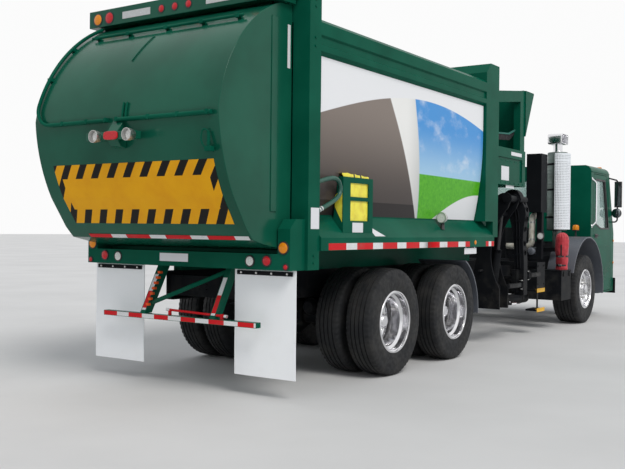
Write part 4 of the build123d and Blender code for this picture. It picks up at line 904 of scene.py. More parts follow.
@dataclass
class Wheel:
    """A disc wheel: barrel, pierced disc, nuts and hub, facing outwards to one side."""

    station: float
    axle_z: float
    side: Side
    bead: float = 0.2897
    holes: int = 10
    hole_at: float = 0.196
    hole_radius: float = 0.026
    studs: int = 10
    stud_circle: float = 0.1425
    nut_length: float = 0.034

    def centre(self, y: float) -> tuple[float, float, float]:
        """Point on the axle line at a distance out from the truck's middle."""
        return (at(self.station), self.side.value * y, self.axle_z)

    def turned(self, sculpt: Sculpt, profile: Sequence[Sequence[float]], y: float, finish: int = 0,
               steps: int = 96) -> None:
        """Turn a closed profile, given outwards from a face at y."""
        flat = np.array(profile, float)
        flat[:, 0] *= self.side.value
        sculpt.lathe(flat, self.centre(y), "y", steps, finish)

    def barrel(self, sculpt: Sculpt, y: float, half: float, finish: int = 0) -> None:
        """Rim barrel about its middle plane, with rolled lips and a drop centre."""
        seat = self.bead
        wall = 0.012
        lip = seat + 0.016
        edge = [(0.0, lip - 0.006), (0.006, lip), (0.014, lip - 0.004), (0.018, seat), (0.07, seat - 0.004),
                (0.09, seat - 0.03)]
        outer = [(-half + x, r) for x, r in edge] + [(half - x, r) for x, r in edge[::-1]]
        inner = [(x, r - wall) for x, r in outer[::-1]]
        self.turned(sculpt, outer + inner, y, finish)

    def disc(self, sculpt: Sculpt, y: float, rise: Sequence[tuple[float, float]], finish: int = 0,
             thickness: float = 0.012) -> None:
        """Pierced disc: each sector is ruled from its round hand hole out to the sector's border.

        A point is the hole's edge times (1-t) plus the border's point times t, in radius and angle,
        and stands out by the rise for its radius.

        Args:
            sculpt: what the disc is added to.
            y: where the disc's zero face lies, out from the middle.
            rise: pairs of radius and distance outwards, from the inner edge to the outer.
            finish: finish number.
            thickness: sheet thickness.
        """
        table = np.array(rise, float)
        low, high = table[0, 0], table[-1, 0]
        half = math.pi / self.holes
        turn = np.linspace(0, 2 * math.pi, 41)
        hole_r = self.hole_at + self.hole_radius * np.sin(turn)
        hole_a = self.hole_radius / self.hole_at * np.cos(turn)
        stretch = 1 / np.maximum(np.abs(np.cos(turn)), np.abs(np.sin(turn)))
        edge_a = half * np.cos(turn) * stretch
        lift = np.sin(turn) * stretch
        edge_r = self.hole_at + np.where(lift > 0, (high - self.hole_at) * lift, (self.hole_at - low) * lift)
        share = np.linspace(0, 1, 7)[:, None]
        radius = hole_r + (edge_r - hole_r) * share
        angle = hole_a + (edge_a - hole_a) * share
        out = np.interp(radius, table[:, 0], table[:, 1])
        for i in range(self.holes):
            a = angle + 2 * half * i
            for level in (0.0, thickness):
                grid = np.stack([radius * np.cos(a), self.side.value * (out + level), radius * np.sin(a)], -1)
                sculpt.grid(grid + row(*self.centre(y)), finish=finish)
            across, up = hole_r * np.cos(a[0]), hole_r * np.sin(a[0])
            rim = [np.stack([across, self.side.value * (out[0] + level), up], -1)
                   for level in (0.0, thickness)]
            sculpt.grid(np.stack(rim) + row(*self.centre(y)), finish=finish)

    def nuts(self, sculpt: Sculpt, y: float) -> None:
        """Ring of six-sided nuts with their stud ends."""
        turn = np.arange(self.studs) * 2 * math.pi / self.studs
        ring = np.stack([np.cos(turn), 0 * turn, np.sin(turn)], -1) * self.stud_circle + row(*self.centre(y))
        out = row(0, self.side.value, 0)
        length = self.nut_length
        sculpt.rods(ring, ring + out * 0.004, 0.023, 16, 1)
        sculpt.rods(ring + out * 0.004, ring + out * length, 0.0165, 6, 1, 0.94)
        sculpt.rods(ring + out * length, ring + out * (length + 0.016), 0.0105, 10, 1)

    def cap_bolts(self, sculpt: Sculpt, y: float, count: int, circle: float, length: float,
                  radius: float) -> None:
        """Bolts in a circle on the hub's cap."""
        turn = np.arange(count) * math.pi / (count / 2) + 0.2
        ring = np.stack([np.cos(turn), 0 * turn, np.sin(turn)], -1) * circle + row(*self.centre(y))
        sculpt.heads(ring, row(0, self.side.value * length, 0), radius, 1)


@dataclass
class Wheels:
    """All wheels of the truck, each on the body of its node.

    A disc is rows of radius and distance outwards, a hub or drum rows of distance outwards and radius.
    """

    rear_radius: float = 0.525
    rear_width: float = 0.280
    front_radius: float = 0.535
    front_width: float = 0.385
    dual: float = 0.345
    outer_y: float = 1.065
    front_y: float = 1.0075
    tandem: float = 1.372
    front_station: float = 6.184
    rear_disc: Line = ((0.085, 0.0), (0.165, 0.0), (0.205, 0.012), (0.240, 0.040), (0.266, 0.050))
    front_disc: Line = ((0.088, 0.100), (0.165, 0.104), (0.200, 0.096), (0.235, 0.062), (0.266, 0.044))
    rear_hub: Line = ((0.190, 0.001), (0.188, 0.052), (0.176, 0.064), (0.150, 0.070), (0.146, 0.088),
                      (0.128, 0.094), (0.108, 0.096), (0.030, 0.112), (-0.06, 0.116), (-0.06, 0.001))
    rear_drum: Line = ((-0.062, 0.118), (-0.062, 0.203), (-0.070, 0.205), (-0.25, 0.205), (-0.25, 0.186),
                       (-0.13, 0.186), (-0.12, 0.118))
    front_hub: Line = ((0.200, 0.001), (0.199, 0.050), (0.190, 0.060), (0.160, 0.064), (0.156, 0.080),
                       (0.140, 0.086), (0.114, 0.092), (0.090, 0.116), (-0.02, 0.117), (-0.02, 0.001))

    def build(self) -> None:
        """Build the four twin pairs and the two front wheels."""
        for side in Side:
            for place, station in (("rear", 0.0), ("middle", self.tandem)):
                self.pair(side, place, station)
            self.front(side)

    def pair(self, side: Side, place: str, station: float) -> None:
        """Twin tyres on their dished rims."""
        body = f"wheels_{place}_{side.word}"
        tyres = Sculpt()
        for y in (self.outer_y, self.outer_y - self.dual):
            tyre = Tyre(self.rear_radius, self.rear_width, station, side.value * y)
            tyres.grid(tyre.surface(), True, True)
        tyres.finish(f"tread_{place}_{side.word}", "rubber", body, replaces=[f"tyres_{place}_{side.word}"],
                     smooth_angle=35)
        mount = self.outer_y - self.dual / 2
        wheel = Wheel(station, self.rear_radius, side)
        rims = Sculpt()
        wheel.barrel(rims, self.outer_y, 0.133)
        wheel.barrel(rims, self.outer_y - self.dual, 0.133, 2)
        wheel.disc(rims, mount + 0.002, self.rear_disc)
        wheel.disc(rims, mount - 0.012, [(r, -0.6 * x) for r, x in self.rear_disc], 2, 0.010)
        wheel.nuts(rims, mount + 0.014)
        wheel.turned(rims, self.rear_hub, mount, 0, 64)
        wheel.turned(rims, self.rear_drum, mount, 2, 64)
        wheel.cap_bolts(rims, mount + 0.147, 8, 0.077, 0.010, 0.009)
        rims.finish(f"rim_{place}_{side.word}", "polished zinc black", body,
                    replaces=[f"rims_{place}_{side.word}"], smooth_angle=32)

    def front(self, side: Side) -> None:
        """Wide single tyre on its convex rim."""
        body = f"wheel_front_{side.word}"
        tyre = Tyre(self.front_radius, self.front_width, self.front_station, side.value * self.front_y,
                    grooves=(-0.66, -0.33, 0.0, 0.33, 0.66))
        rubber = Sculpt()
        rubber.grid(tyre.surface(), True, True)
        rubber.finish(f"tread_front_{side.word}", "rubber", body, replaces=[f"tyre_front_{side.word}"],
                      smooth_angle=35)
        wheel = Wheel(self.front_station, self.front_radius, side, hole_at=0.205)
        rim = Sculpt()
        wheel.barrel(rim, self.front_y, 0.1855)
        wheel.disc(rim, self.front_y, self.front_disc)
        wheel.nuts(rim, self.front_y + 0.114)
        wheel.turned(rim, self.front_hub, self.front_y, 0, 64)
        wheel.cap_bolts(rim, self.front_y + 0.157, 6, 0.070, 0.009, 0.008)
        rim.finish(f"rim_face_{side.word}", "polished zinc", body, replaces=[f"rim_front_{side.word}"],
                   smooth_angle=32)


# Load body


def lay_tape(sculpt: Sculpt, start: Array, end: Array, up: Array, out: Array, first: int = 0,
             lengths: tuple[float, float] = (0.283, 0.184)) -> None:
    """Lay red and white lengths in turn from start to end, each its own thin plate.

    Args:
        sculpt: what they are added to.
        start: middle of the tape's first edge.
        end: middle of its last edge.
        up: unit vector across the tape, times its height.
        out: unit vector off the surface.
        first: 0 starts with red, 1 with white.
        lengths: length of a red part and of a white one.
    """
    total = float(np.linalg.norm(end - start))
    way = (end - start) / total
    flip = 1 if np.cross(way, up) @ out > 0 else -1
    faces = [[0, 1, 3, 2], [4, 6, 7, 5], [0, 4, 5, 1], [1, 5, 7, 3], [3, 7, 6, 2], [2, 6, 4, 0]]
    place, turn, least = 0.0, first, 0.01
    while place < total - least:
        reach = min(lengths[turn], total - place)
        a, b = start + way * place, start + way * (place + reach)
        flat = np.array([a - up / 2, a + up / 2, b - up / 2, b + up / 2])
        sculpt.add(np.vstack([flat + out * h for h in (0.0003, 0.0012)]), [f[::flip] for f in faces], turn)
        place += reach
        turn = 1 - turn


@dataclass
class LoadBody:
    """Details of the load space: printed sheet, ledge tapes, blank plates and the ledge's work lamp.

    A side plate is its station, side, middle height, length and height.
    """

    wall: Line = ((1.076, 1.536), (1.157, 2.030), (1.184, 2.570))
    sheet_ends: tuple[float, float] = (-1.345, 2.105)
    sheet_foot: float = 1.548
    band_z: float = 2.895
    ledge_y: float = 1.240
    tape_height: float = 0.058
    tape_z: float = 1.273
    long_tape: tuple[float, float] = (-1.283, 1.64)
    short_tape: tuple[float, float] = (2.10, 2.34)
    short_part: float = 0.08
    side_plates: tuple[tuple[float, ...], ...] = (
        (-1.469, -1.220, 1.512, 0.124, 0.178), (2.810, -1.184, 2.143, 0.250, 0.175),
        (2.970, -1.184, 1.985, 0.270, 0.045), (3.146, -1.200, 2.400, 0.360, 0.045),
        (-0.753, -1.205, 1.440, 0.185, 0.088))
    hanging_station: float = 1.705
    lamp_station: float = 1.085

    def wall_y(self, height: Array) -> Array:
        """Distance out of the wall at each height: on its arc up to the top point, then upright."""
        line = arc_points(*self.wall, 80)
        return np.interp(height, line[:, 1], line[:, 0])

    def build(self) -> None:
        """Build every detail of the load body."""
        self.sheet()
        self.tapes()
        self.plates()
        self.hanging_plate()
        self.ledge_lamp()

    def sheet(self) -> None:
        """Printed sheet that follows the right wall."""
        rear, front = (at(station) for station in self.sheet_ends)
        head = self.band_z - 0.004
        along, height = np.meshgrid(np.linspace(rear, front, 40), np.linspace(self.sheet_foot, head, 60))
        sculpt = Sculpt()
        sculpt.slab(np.stack([along, -self.wall_y(height), height], -1), 0.0012, 0.0003, out=(0, -1, 0))
        finish = PrintedPanel("printed side sheet", rear, front, self.sheet_foot, self.band_z)
        sculpt.finish("printed_side_sheet", finish.material(), slot="flap_white")

    def tapes(self) -> None:
        """Red and white tapes on both ledges."""
        up, z = row(0, 0, self.tape_height), self.tape_z
        for side in Side:
            out, y = row(0, side.value, 0), side.value * self.ledge_y
            sculpt = Sculpt()
            lay_tape(sculpt, *(spot(station, y, z) for station in self.long_tape), up, out)
            short = self.short_part, self.short_part
            lay_tape(sculpt, *(spot(station, y, z) for station in self.short_tape), up, out, 0, short)
            sculpt.finish(f"ledge_tape_{side.word}", "tape_red tape_white")

    def blank(self, sculpt: Sculpt, centre: Array, size: Array, out: Array) -> None:
        """A thin blank plate on a flat face, with its size along each axis."""
        sculpt.boxes(centre - size / 2 + out * 0.0002, centre + size / 2 + out * 0.0016)

    def plates(self) -> None:
        """Blank white plates on the frame post, the hopper, the holder and the beam, and a triangle."""
        sculpt = Sculpt()
        for station, y, z, length, height in self.side_plates:
            self.blank(sculpt, spot(station, y, z), row(length, 0, height), row(0, -1, 0))
        self.blank(sculpt, spot(-1.78, 0.080, 1.158), row(0, 0.34, 0.072), row(-1, 0, 0))
        corners = np.array([(-0.478, -1.141, 1.4623), (-0.478, -1.231, 1.3602), (-0.285, -1.231, 1.3602)])
        lifted = corners + row(at(0), -0.0006, 0.0008)
        sculpt.add(np.vstack([lifted, lifted + row(0, -0.0009, 0.0010)]),
                   [[0, 1, 2], [5, 4, 3], [0, 3, 4, 1], [1, 4, 5, 2], [2, 5, 3, 0]], 0)
        sculpt.finish("blank_plates", "plate", bevel=0.0004)

    def hanging_plate(self) -> None:
        """Blank plate on two short straps under the right ledge."""
        sculpt = Sculpt()
        x = at(self.hanging_station)
        sculpt.boxes(row(x - 0.165, -1.2215, 1.160), row(x + 0.165, -1.2195, 1.228))
        sculpt.boxes([row(x + s - 0.012, -1.2195, 1.215) for s in (-0.12, 0.12)],
                     [row(x + s + 0.012, -1.2165, 1.262) for s in (-0.12, 0.12)])
        sculpt.finish("ledge_hanging_plate", "plate", bevel=0.0004)

    def ledge_lamp(self) -> None:
        """Round work lamp, facing rearwards, on its stalk on the right ledge."""
        x, y, z = at(self.lamp_station), -1.165, 1.560
        body, glass, foot = Sculpt(), Sculpt(), Sculpt()
        body.lathe([(0.060, 0.001), (0.052, 0.026), (0.030, 0.048), (0.0, 0.058), (-0.030, 0.060),
                    (-0.036, 0.057), (-0.036, 0.050), (-0.028, 0.050), (-0.018, 0.001)], (x, y, z), "x", 48)
        body.finish("ledge_lamp_shell", "zinc")
        glass.lathe([(-0.0205, 0.001), (-0.030, 0.001), (-0.0335, 0.025), (-0.0295, 0.049), (-0.0295, 0.0495),
                     (-0.020, 0.047)], (x, y, z), "x", 48)
        glass.finish("ledge_lamp_lens", "clear")
        outline = [(x - 0.035, 1.432), (x + 0.035, 1.432), (x + 0.022, 1.505), (x - 0.022, 1.505)]
        foot.prism(outline, "xz", y - 0.012, y + 0.012)
        foot.rods((x, y - 0.02, 1.497), (x, y + 0.02, 1.497), 0.010)
        foot.finish("ledge_lamp_foot", "trim", slot="black_paint", bevel=0.002)


# Tailgate


@dataclass
class Tailgate:
    """The tailgate's bulged shell, hazard panel, tape, conduit, lamps and latches.

    Its side line is two arcs, each through three points of station and height, and a straight skirt.
    """

    half_width: float = 1.050
    wall: float = 0.040
    front: float = -1.585
    top: float = 3.290
    bottom: float = 1.240
    upper: Line = ((-1.760, 3.275), (-2.300, 2.866), (-2.522, 2.332))
    lower: Line = ((-2.522, 2.332), (-2.472, 2.014), (-2.339, 1.671))
    skirt: Line = ((-2.339, 1.671), (-2.173, 1.419), (-2.087, 1.328))
    lean: Line = ((0, -1), (0.7, -0.7), (1, 0), (0.97, 0.2), (0.9, 0.4), (0.8, 0.6), (0.4, 0.9))
    panel: HazardPanel = HazardPanel("hazard bars", 0.885, -0.950, 1.455, 1.950)
    visor_face: float = -1.880
    visor_z: float = 3.356
    lamp_z: float = 2.150
    lamp_sides: tuple[float, float] = (0.128, -0.250)
    conduit_gap: float = 0.026
    bend_radius: float = 0.164
    conduit_clips: tuple[float, ...] = (0.66, 0.36, 0.135, 0.005, -0.35, -0.66, -0.96)
    edge_clips: tuple[float, float] = (3.02, 2.72)
    rod_clips: tuple[float, ...] = (0.74, 0.35, -0.1, -0.5, -0.88)

    def outline(self) -> Array:
        """Side line of the sheet from the top down: two arcs and two straight runs."""
        curves = arc_points(*self.upper, 40), arc_points(*self.lower, 30)[1:]
        return np.vstack([*curves, np.array(self.skirt)[1:]])

    def follow(self, high: float, low: float, count: int) -> Array:
        """Points on the sheet's side line between two heights, as station and height."""
        line = self.outline()[::-1]
        z = np.linspace(low, high, count)
        return np.stack([np.interp(z, line[:, 1], line[:, 0]), z], -1)

    def over(self, z: Array, height: float) -> Array:
        """Stations and heights of points at a height off the sheet, square to its side line."""
        line = self.outline()
        order = np.argsort(line[:, 1])
        x = np.interp(z, line[order, 1], line[order, 0])
        slope = np.gradient(line[order, 0], line[order, 1])
        lean = np.interp(z, line[order, 1], slope)
        off = np.stack([-np.ones_like(lean), lean], -1) / np.sqrt(1 + lean**2)[:, None]
        return np.stack([x, z], -1) + off * height

    def build(self) -> None:
        """Build every detail of the tailgate."""
        self.shell()
        self.hazard()
        self.foot_tape()
        self.conduit()
        self.lamps()
        self.visor()
        self.latches()

    def hazard(self) -> None:
        """Yellow and black panel with a blank field."""
        sculpt = Sculpt()
        line = self.follow(self.panel.head, self.panel.foot, 24)
        grid = swept(line, np.linspace(self.panel.right, self.panel.left, 40))
        sculpt.slab(grid, 0.0012, 0.0006, out=(-1, 0, 0))
        sculpt.finish("hazard_panel", self.panel.material(), "tailgate", slot="yellow_bag")

    def foot_tape(self) -> None:
        """Red and white tape along the sheet's lower edge."""
        sculpt = Sculpt()
        x = at(-2.100) - 0.006
        up, out = row(-0.028, 0, 0.030), row(-0.73, 0, -0.68)
        lay_tape(sculpt, row(x, 0.80, 1.344), row(x, -1.03, 1.344), up, out)
        sculpt.finish("tailgate_tape", "tape_red tape_white", "tailgate")

    def section(self, inset: float) -> Array:
        """Side section of the shell from its front top to its front bottom, moved in by a wall.

        Each named point goes inwards by its row of lean times the inset.

        Args:
            inset: wall thickness, or 0 for the outside.

        Returns:
            Stations and heights.
        """
        named = np.array([*self.upper, *self.lower[1:], *self.skirt[1:]]) + inset * np.array(self.lean)
        top, high, middle, low, foot, knee, heel = named
        ends = [knee, heel, (-1.854, 1.277 + inset), (self.front, self.bottom + inset)]
        arcs = arc_points(top, high, middle, 72), arc_points(middle, low, foot, 48)[1:]
        return np.vstack([[(self.front, self.top - inset)], *arcs, ends])

    def shell(self) -> None:
        """Hollow bulged shell open to the front, with its side ribs, visor, pins and lamp bracket."""
        sculpt = Sculpt()
        half, x, ring = self.half_width, at(self.front), []
        for inset in (0.0, self.wall):
            line, reach = self.section(inset), half - inset
            sculpt.grid(swept(line, np.linspace(-reach, reach, 24)))
            for level in (-reach, reach):
                sculpt.add(upright(line, level), [list(range(len(line)))], 0)
            top, bottom = self.top - inset, self.bottom + inset
            ring += [(x, -reach, top), (x, reach, top), (x, reach, bottom), (x, -reach, bottom)]
        sculpt.add(np.array(ring), [[i, (i + 1) % 4, 4 + (i + 1) % 4, 4 + i] for i in range(4)], 0)
        for s in (-1, 1):
            sculpt.boxes(spot(-1.870, s * half, 1.560), spot(-1.790, s * (half + 0.008), 3.150))
            sculpt.rods(spot(-1.600, s * half, 3.420), spot(-1.600, s * (half + 0.095), 3.420), 0.015, 24)
        sculpt.boxes(spot(self.visor_face, -half - 0.040, 3.285), spot(-1.590, half + 0.040, 3.440))
        sculpt.boxes(spot(-2.640, -0.280, 2.120), spot(-2.552, 0.260, 2.185))
        bracket = [(-2.500, 2.060), (-2.560, 2.075), (-2.600, 2.130), (-2.600, 2.190), (-2.500, 2.330)]
        sculpt.prism([(at(station), z) for station, z in bracket], "xz", -0.060, 0.060)
        sculpt.finish("tailgate_shell", "gloss", "tailgate", replaces=["tailgate"], bevel=0.004,
                      smooth_angle=30)

    def conduit(self) -> None:
        """Conduit that follows the sheet's left edge, rounds a wide bend and runs across, with its clips.

        In the bend the distance along the edge and the distance across follow the cosine and sine of
        a quarter turn.
        """
        high, low, gap = 3.236, 2.460, self.conduit_gap
        edge = upright(self.over(np.linspace(high, low, 30), gap), np.linspace(0.930, 1.005, 30))
        turn = np.linspace(0, math.pi / 2, 16)[1:]
        bend = self.over(low - self.bend_radius * np.sin(turn), gap)
        corner = upright(bend, 0.841 + self.bend_radius * np.cos(turn))
        tubes = Sculpt()
        tubes.tube(np.vstack([edge, corner]), 0.016, 16)
        station, z = self.over(row(2.296), gap)[0]
        for left, right in ((0.842, 0.120), (0.020, -1.0)):
            tubes.rods(spot(station, left, z), spot(station, right, z), 0.018, 16)
        for y in self.conduit_clips:
            tubes.boxes(spot(station - 0.019, y - 0.012, 2.276), spot(station + 0.030, y + 0.012, 2.315))
        for z in self.edge_clips:
            x = at(self.over(row(z), gap)[0, 0])
            y = 0.930 + 0.075 * ((high - z) / 0.776)
            tubes.boxes(row(x - 0.016, y - 0.026, z - 0.020), row(x + 0.020, y + 0.026, z + 0.012))
        tubes.finish("tailgate_conduit", "green", "tailgate", bevel=0.002)

    def lamps(self) -> None:
        """Two hooded work lamps and a red oval lamp on the bracket."""
        hoods, lenses, stop = Sculpt(), Sculpt(), Sculpt()
        for y in self.lamp_sides:
            place = spot(-2.60, y, self.lamp_z)
            hood = [(-0.002, 0.001), (-0.004, 0.026), (-0.016, 0.040), (-0.040, 0.047), (-0.085, 0.051),
                    (-0.0885, 0.050), (-0.0885, 0.046), (-0.052, 0.042), (-0.048, 0.001)]
            hoods.lathe(hood, place, "x", 48)
            glass = [(-0.0485, 0.001), (-0.0640, 0.001), (-0.0600, 0.030), (-0.0525, 0.0415)]
            lenses.lathe(glass, place, "x", 48)
        hoods.finish("rear_lamp_hoods", "zinc", "tailgate", slot="trim_grey")
        lenses.finish("rear_lamp_glasses", "clear", "tailgate")
        turn = np.linspace(0, 2 * math.pi, 40, endpoint=False)
        c, s = np.cos(turn), np.sin(turn)
        across, up = 0.078 * np.sign(c) * np.abs(c) ** 0.5, 0.034 * np.sign(s) * np.abs(s) ** 0.6
        stop.prism(np.stack([-0.035 + across, 2.153 + up], -1), "yz", at(-2.656), at(-2.6402))
        stop.finish("rear_middle_lamp", "red", "tailgate", bevel=0.004)

    def visor(self) -> None:
        """Lamps and blank strips on the visor over the tailgate, and a rod across the sheet under it."""
        face, z = at(self.visor_face), self.visor_z
        back = row(-1, 0, 0)
        red, amber, rims, strips, rod = Sculpt(), Sculpt(), Sculpt(), Sculpt(), Sculpt()
        lamps = ((red, 0.821, 0.052), (red, -0.821, 0.052), (red, 0.163, 0.032), (red, 0.003, 0.032),
                 (red, -0.157, 0.032), (amber, 0.973, 0.052), (amber, -0.973, 0.052))
        for lens, y, radius in lamps:
            lens.domes(row(face, y, z), radius, 0.012, back)
            rims.rods(row(face + 0.001, y, z), row(face - 0.004, y, z), radius + 0.007, 32)
        for s in (1, -1):
            red.domes(spot(-1.74, s * 1.09, z), 0.030, 0.010, (0, s, 0))
        red.finish("visor_red_lamps", "red", "tailgate")
        amber.finish("visor_amber_lamps", "amber", "tailgate")
        rims.finish("visor_lamp_rims", "trim", "tailgate")
        for y in (0.475, -0.530):
            strips.boxes(row(face - 0.0015, y - 0.175, 3.326), row(face - 0.0002, y + 0.175, 3.389))
        side = -self.half_width
        strips.boxes(spot(-1.650, side - 0.0018, 2.755), spot(-1.612, side - 0.0003, 3.115))
        strips.finish("visor_white_strips", "tape_white", "tailgate")
        station, height = self.over(row(3.095), 0.030)[0]
        line = spot(station, 0, height)
        rod.tube(line + row(0, 1, 0) * np.linspace(0.80, -0.94, 12)[:, None], 0.013, 14)
        for y in self.rod_clips:
            rod.boxes(line + row(-0.016, y - 0.02, -0.018), line + row(0.040, y + 0.02, 0.016))
        rod.finish("tailgate_top_rod", "green", "tailgate", bevel=0.003)

    def latches(self) -> None:
        """Small latch and its cable at the sheet's right edge, a seam and two stub pipes in the middle."""
        sculpt = Sculpt()
        x = at(-2.505)
        sculpt.boxes(row(x - 0.030, -0.985, 2.000), row(x + 0.02, -0.925, 2.040))
        sculpt.boxes(row(x - 0.024, -0.965, 2.040), row(x - 0.008, -0.945, 2.150))
        path = rounded_path([(x - 0.012, -0.955, 2.15), (x - 0.035, -0.91, 2.18), (x - 0.030, -0.885, 2.08),
                             (x - 0.010, -0.93, 2.01)], 0.05)
        sculpt.tube(path, 0.006, 8)
        seam = self.over(np.linspace(3.04, 2.80, 8), 0.006)
        sculpt.tube(upright(seam, np.linspace(-0.02, 0.04, 8)), 0.005, 8)
        stub = self.over(np.linspace(2.43, 2.30, 6), 0.012)
        for y in (-0.045, -0.085):
            sculpt.tube(upright(stub, y), 0.009, 10)
        sculpt.finish("tailgate_fittings", "green", "tailgate", bevel=0.002)


# Rear frame and what hangs under it


@dataclass
class RearEnd:
    """Lamps, flaps and their clamps, guard tapes, rack and bolts of the rear frame.

    A lamp is its side distance, height and radius.
    """

    beam_station: float = -1.780
    bar_rear: float = -1.840
    red_lamps: tuple[tuple[float, float, float], ...] = ((0.957, 1.156, 0.042), (1.150, 1.110, 0.022))
    amber_lamp: tuple[float, float, float] = (1.125, 1.266, 0.048)
    clear_lamp: tuple[float, float, float] = (0.781, 1.150, 0.042)
    flap_sides: tuple[float, float] = (0.540, 1.182)
    flap_top: float = 1.078
    flap_fall: float = 0.906
    bolt_heights: tuple[float, ...] = (1.14, 1.20, 2.95, 3.02, 3.28, 3.34)

    def build(self) -> None:
        """Build every detail of the rear end."""
        self.lamps()
        self.flaps()
        self.guard()
        self.bolts()

    def lamps(self) -> None:
        """Domed lenses with their rims in place of the plain ones, headlamps and side markers too."""
        face, back, rims = at(self.beam_station), row(-1, 0, 0), Sculpt()
        groups = {"red": self.red_lamps, "amber": (self.amber_lamp,), "clear": (self.clear_lamp,)}
        for name, places in groups.items():
            lens = Sculpt()
            for y, z, r in places:
                for sign in (-1, 1):
                    centre = row(face, sign * y, z)
                    lens.domes(centre + back * 0.002, r, 0.014, back)
                    rims.lathe([(0.0, r - 0.004), (0.0, r + 0.008), (-0.006, r + 0.007), (-0.009, r + 0.001),
                                (-0.007, r - 0.004)], centre, "x", 36)
            for sign in (-1, 1):
                if name == "amber":
                    lens.domes(spot(1.795, sign * 1.2402, 1.290), 0.025, 0.011, (0, sign, 0))
                if name == "clear":
                    lens.domes(spot(7.8802, sign * 0.900, 0.820), 0.092, 0.024, (1, 0, 0), sides=40)
            lens.finish(f"{name}_lenses", name, replaces=[f"lamps_{name}"])
        rims.finish("lamp_rims", "trim")

    def flaps(self) -> None:
        """White flaps with a slight sway, and the clamp bars and bolts that hold them.

        The sway is a sine of the side distance and one of the height, each growing with the fall.
        """
        flaps, clamps, bolts = Sculpt(), Sculpt(), Sculpt()
        inner, outer = self.flap_sides
        for side in Side:
            s = side.value
            z = np.linspace(self.flap_top, self.flap_top - self.flap_fall, 40)
            across, height = np.meshgrid(s * np.linspace(inner, outer, 24), z)
            fall = (self.flap_top - height) / self.flap_fall
            sway = 0.0035 * np.sin(across * 9.0 + 0.6 * s) * fall + 0.002 * np.sin(height * 11.0) * fall
            grid = np.stack([at(-1.675) + sway, across, height], -1)
            flaps.slab(grid if side is Side.RIGHT else grid[:, ::-1], 0.006, -0.003)
            low, high = sorted((s * (inner + 0.03), s * (outer - 0.03)))
            clamps.boxes(spot(-1.690, low, 1.030), spot(-1.6795, high, 1.066))
            places = np.linspace(low + 0.05, high - 0.05, 4)
            heads = np.array([spot(-1.690, y, 1.048) for y in places])
            bolts.heads(heads, row(-0.008, 0, 0), 0.010)
        flaps.finish("mud_flaps", "flap", replaces=["mudflaps"])
        clamps.finish("flap_clamps", "black", bevel=0.002)
        bolts.finish("flap_bolts", "zinc")

    def guard(self) -> None:
        """Tapes on the guard bar and its arms, the red rod with white ends, and the orange rack."""
        tapes, rack = Sculpt(), Sculpt()
        x = at(self.bar_rear)
        bar = row(x, 0.895, 0.6225), row(x, -0.895, 0.6225)
        lay_tape(tapes, *bar, row(0, 0, 0.038), row(-1, 0, 0), 0, (0.17, 0.15))
        along = row(-0.230, 0, -0.435)
        along /= np.linalg.norm(along)
        out = row(-0.884, 0, 0.467)
        for y in (0.41, -0.41):
            start = spot(-1.600, y, 1.080) + along * 0.10
            lay_tape(tapes, start, start + along * 0.36, row(0, 0.045, 0), out, 1, (0.17, 0.17))
        left, right = row(x + 0.040, 0.139, 0.692), row(x + 0.040, -0.556, 0.672)
        tapes.rods(left, right, 0.011, 14, 0)
        for start, other, share in ((left, right, 0.06), (right, left, 0.04)):
            tapes.rods(start, start + (other - start) * share, 0.0135, 14, 1)
        for y in (0.10, -0.50):
            tapes.boxes(row(x + 0.028, y - 0.010, 0.6435), row(x + 0.052, y + 0.010, 0.690), 0)
        tapes.finish("guard_tapes", "tape_red tape_white")
        turn = np.linspace(0, 1, 7)
        down = np.stack([at(-1.645) - 0.150 * turn, 0 * turn + 0.368, 1.010 - 0.285 * turn], -1)
        rack.boxes(down - row(0.020, 0.016, 0.011), down + row(0.012, 0.018, 0.011))
        rack.finish("guard_rack", "orange", bevel=0.002)

    def bolts(self) -> None:
        """Bolt heads on both posts."""
        heads = Sculpt()
        places = np.array([(at(-1.485), -1.220, z) for z in self.bolt_heights])
        for sign in (1, -1):
            heads.heads(places * row(1, sign, 1), row(0, -0.008 * sign, 0), 0.011)
        heads.finish("post_bolts", "green")


# Soft goods and the hose


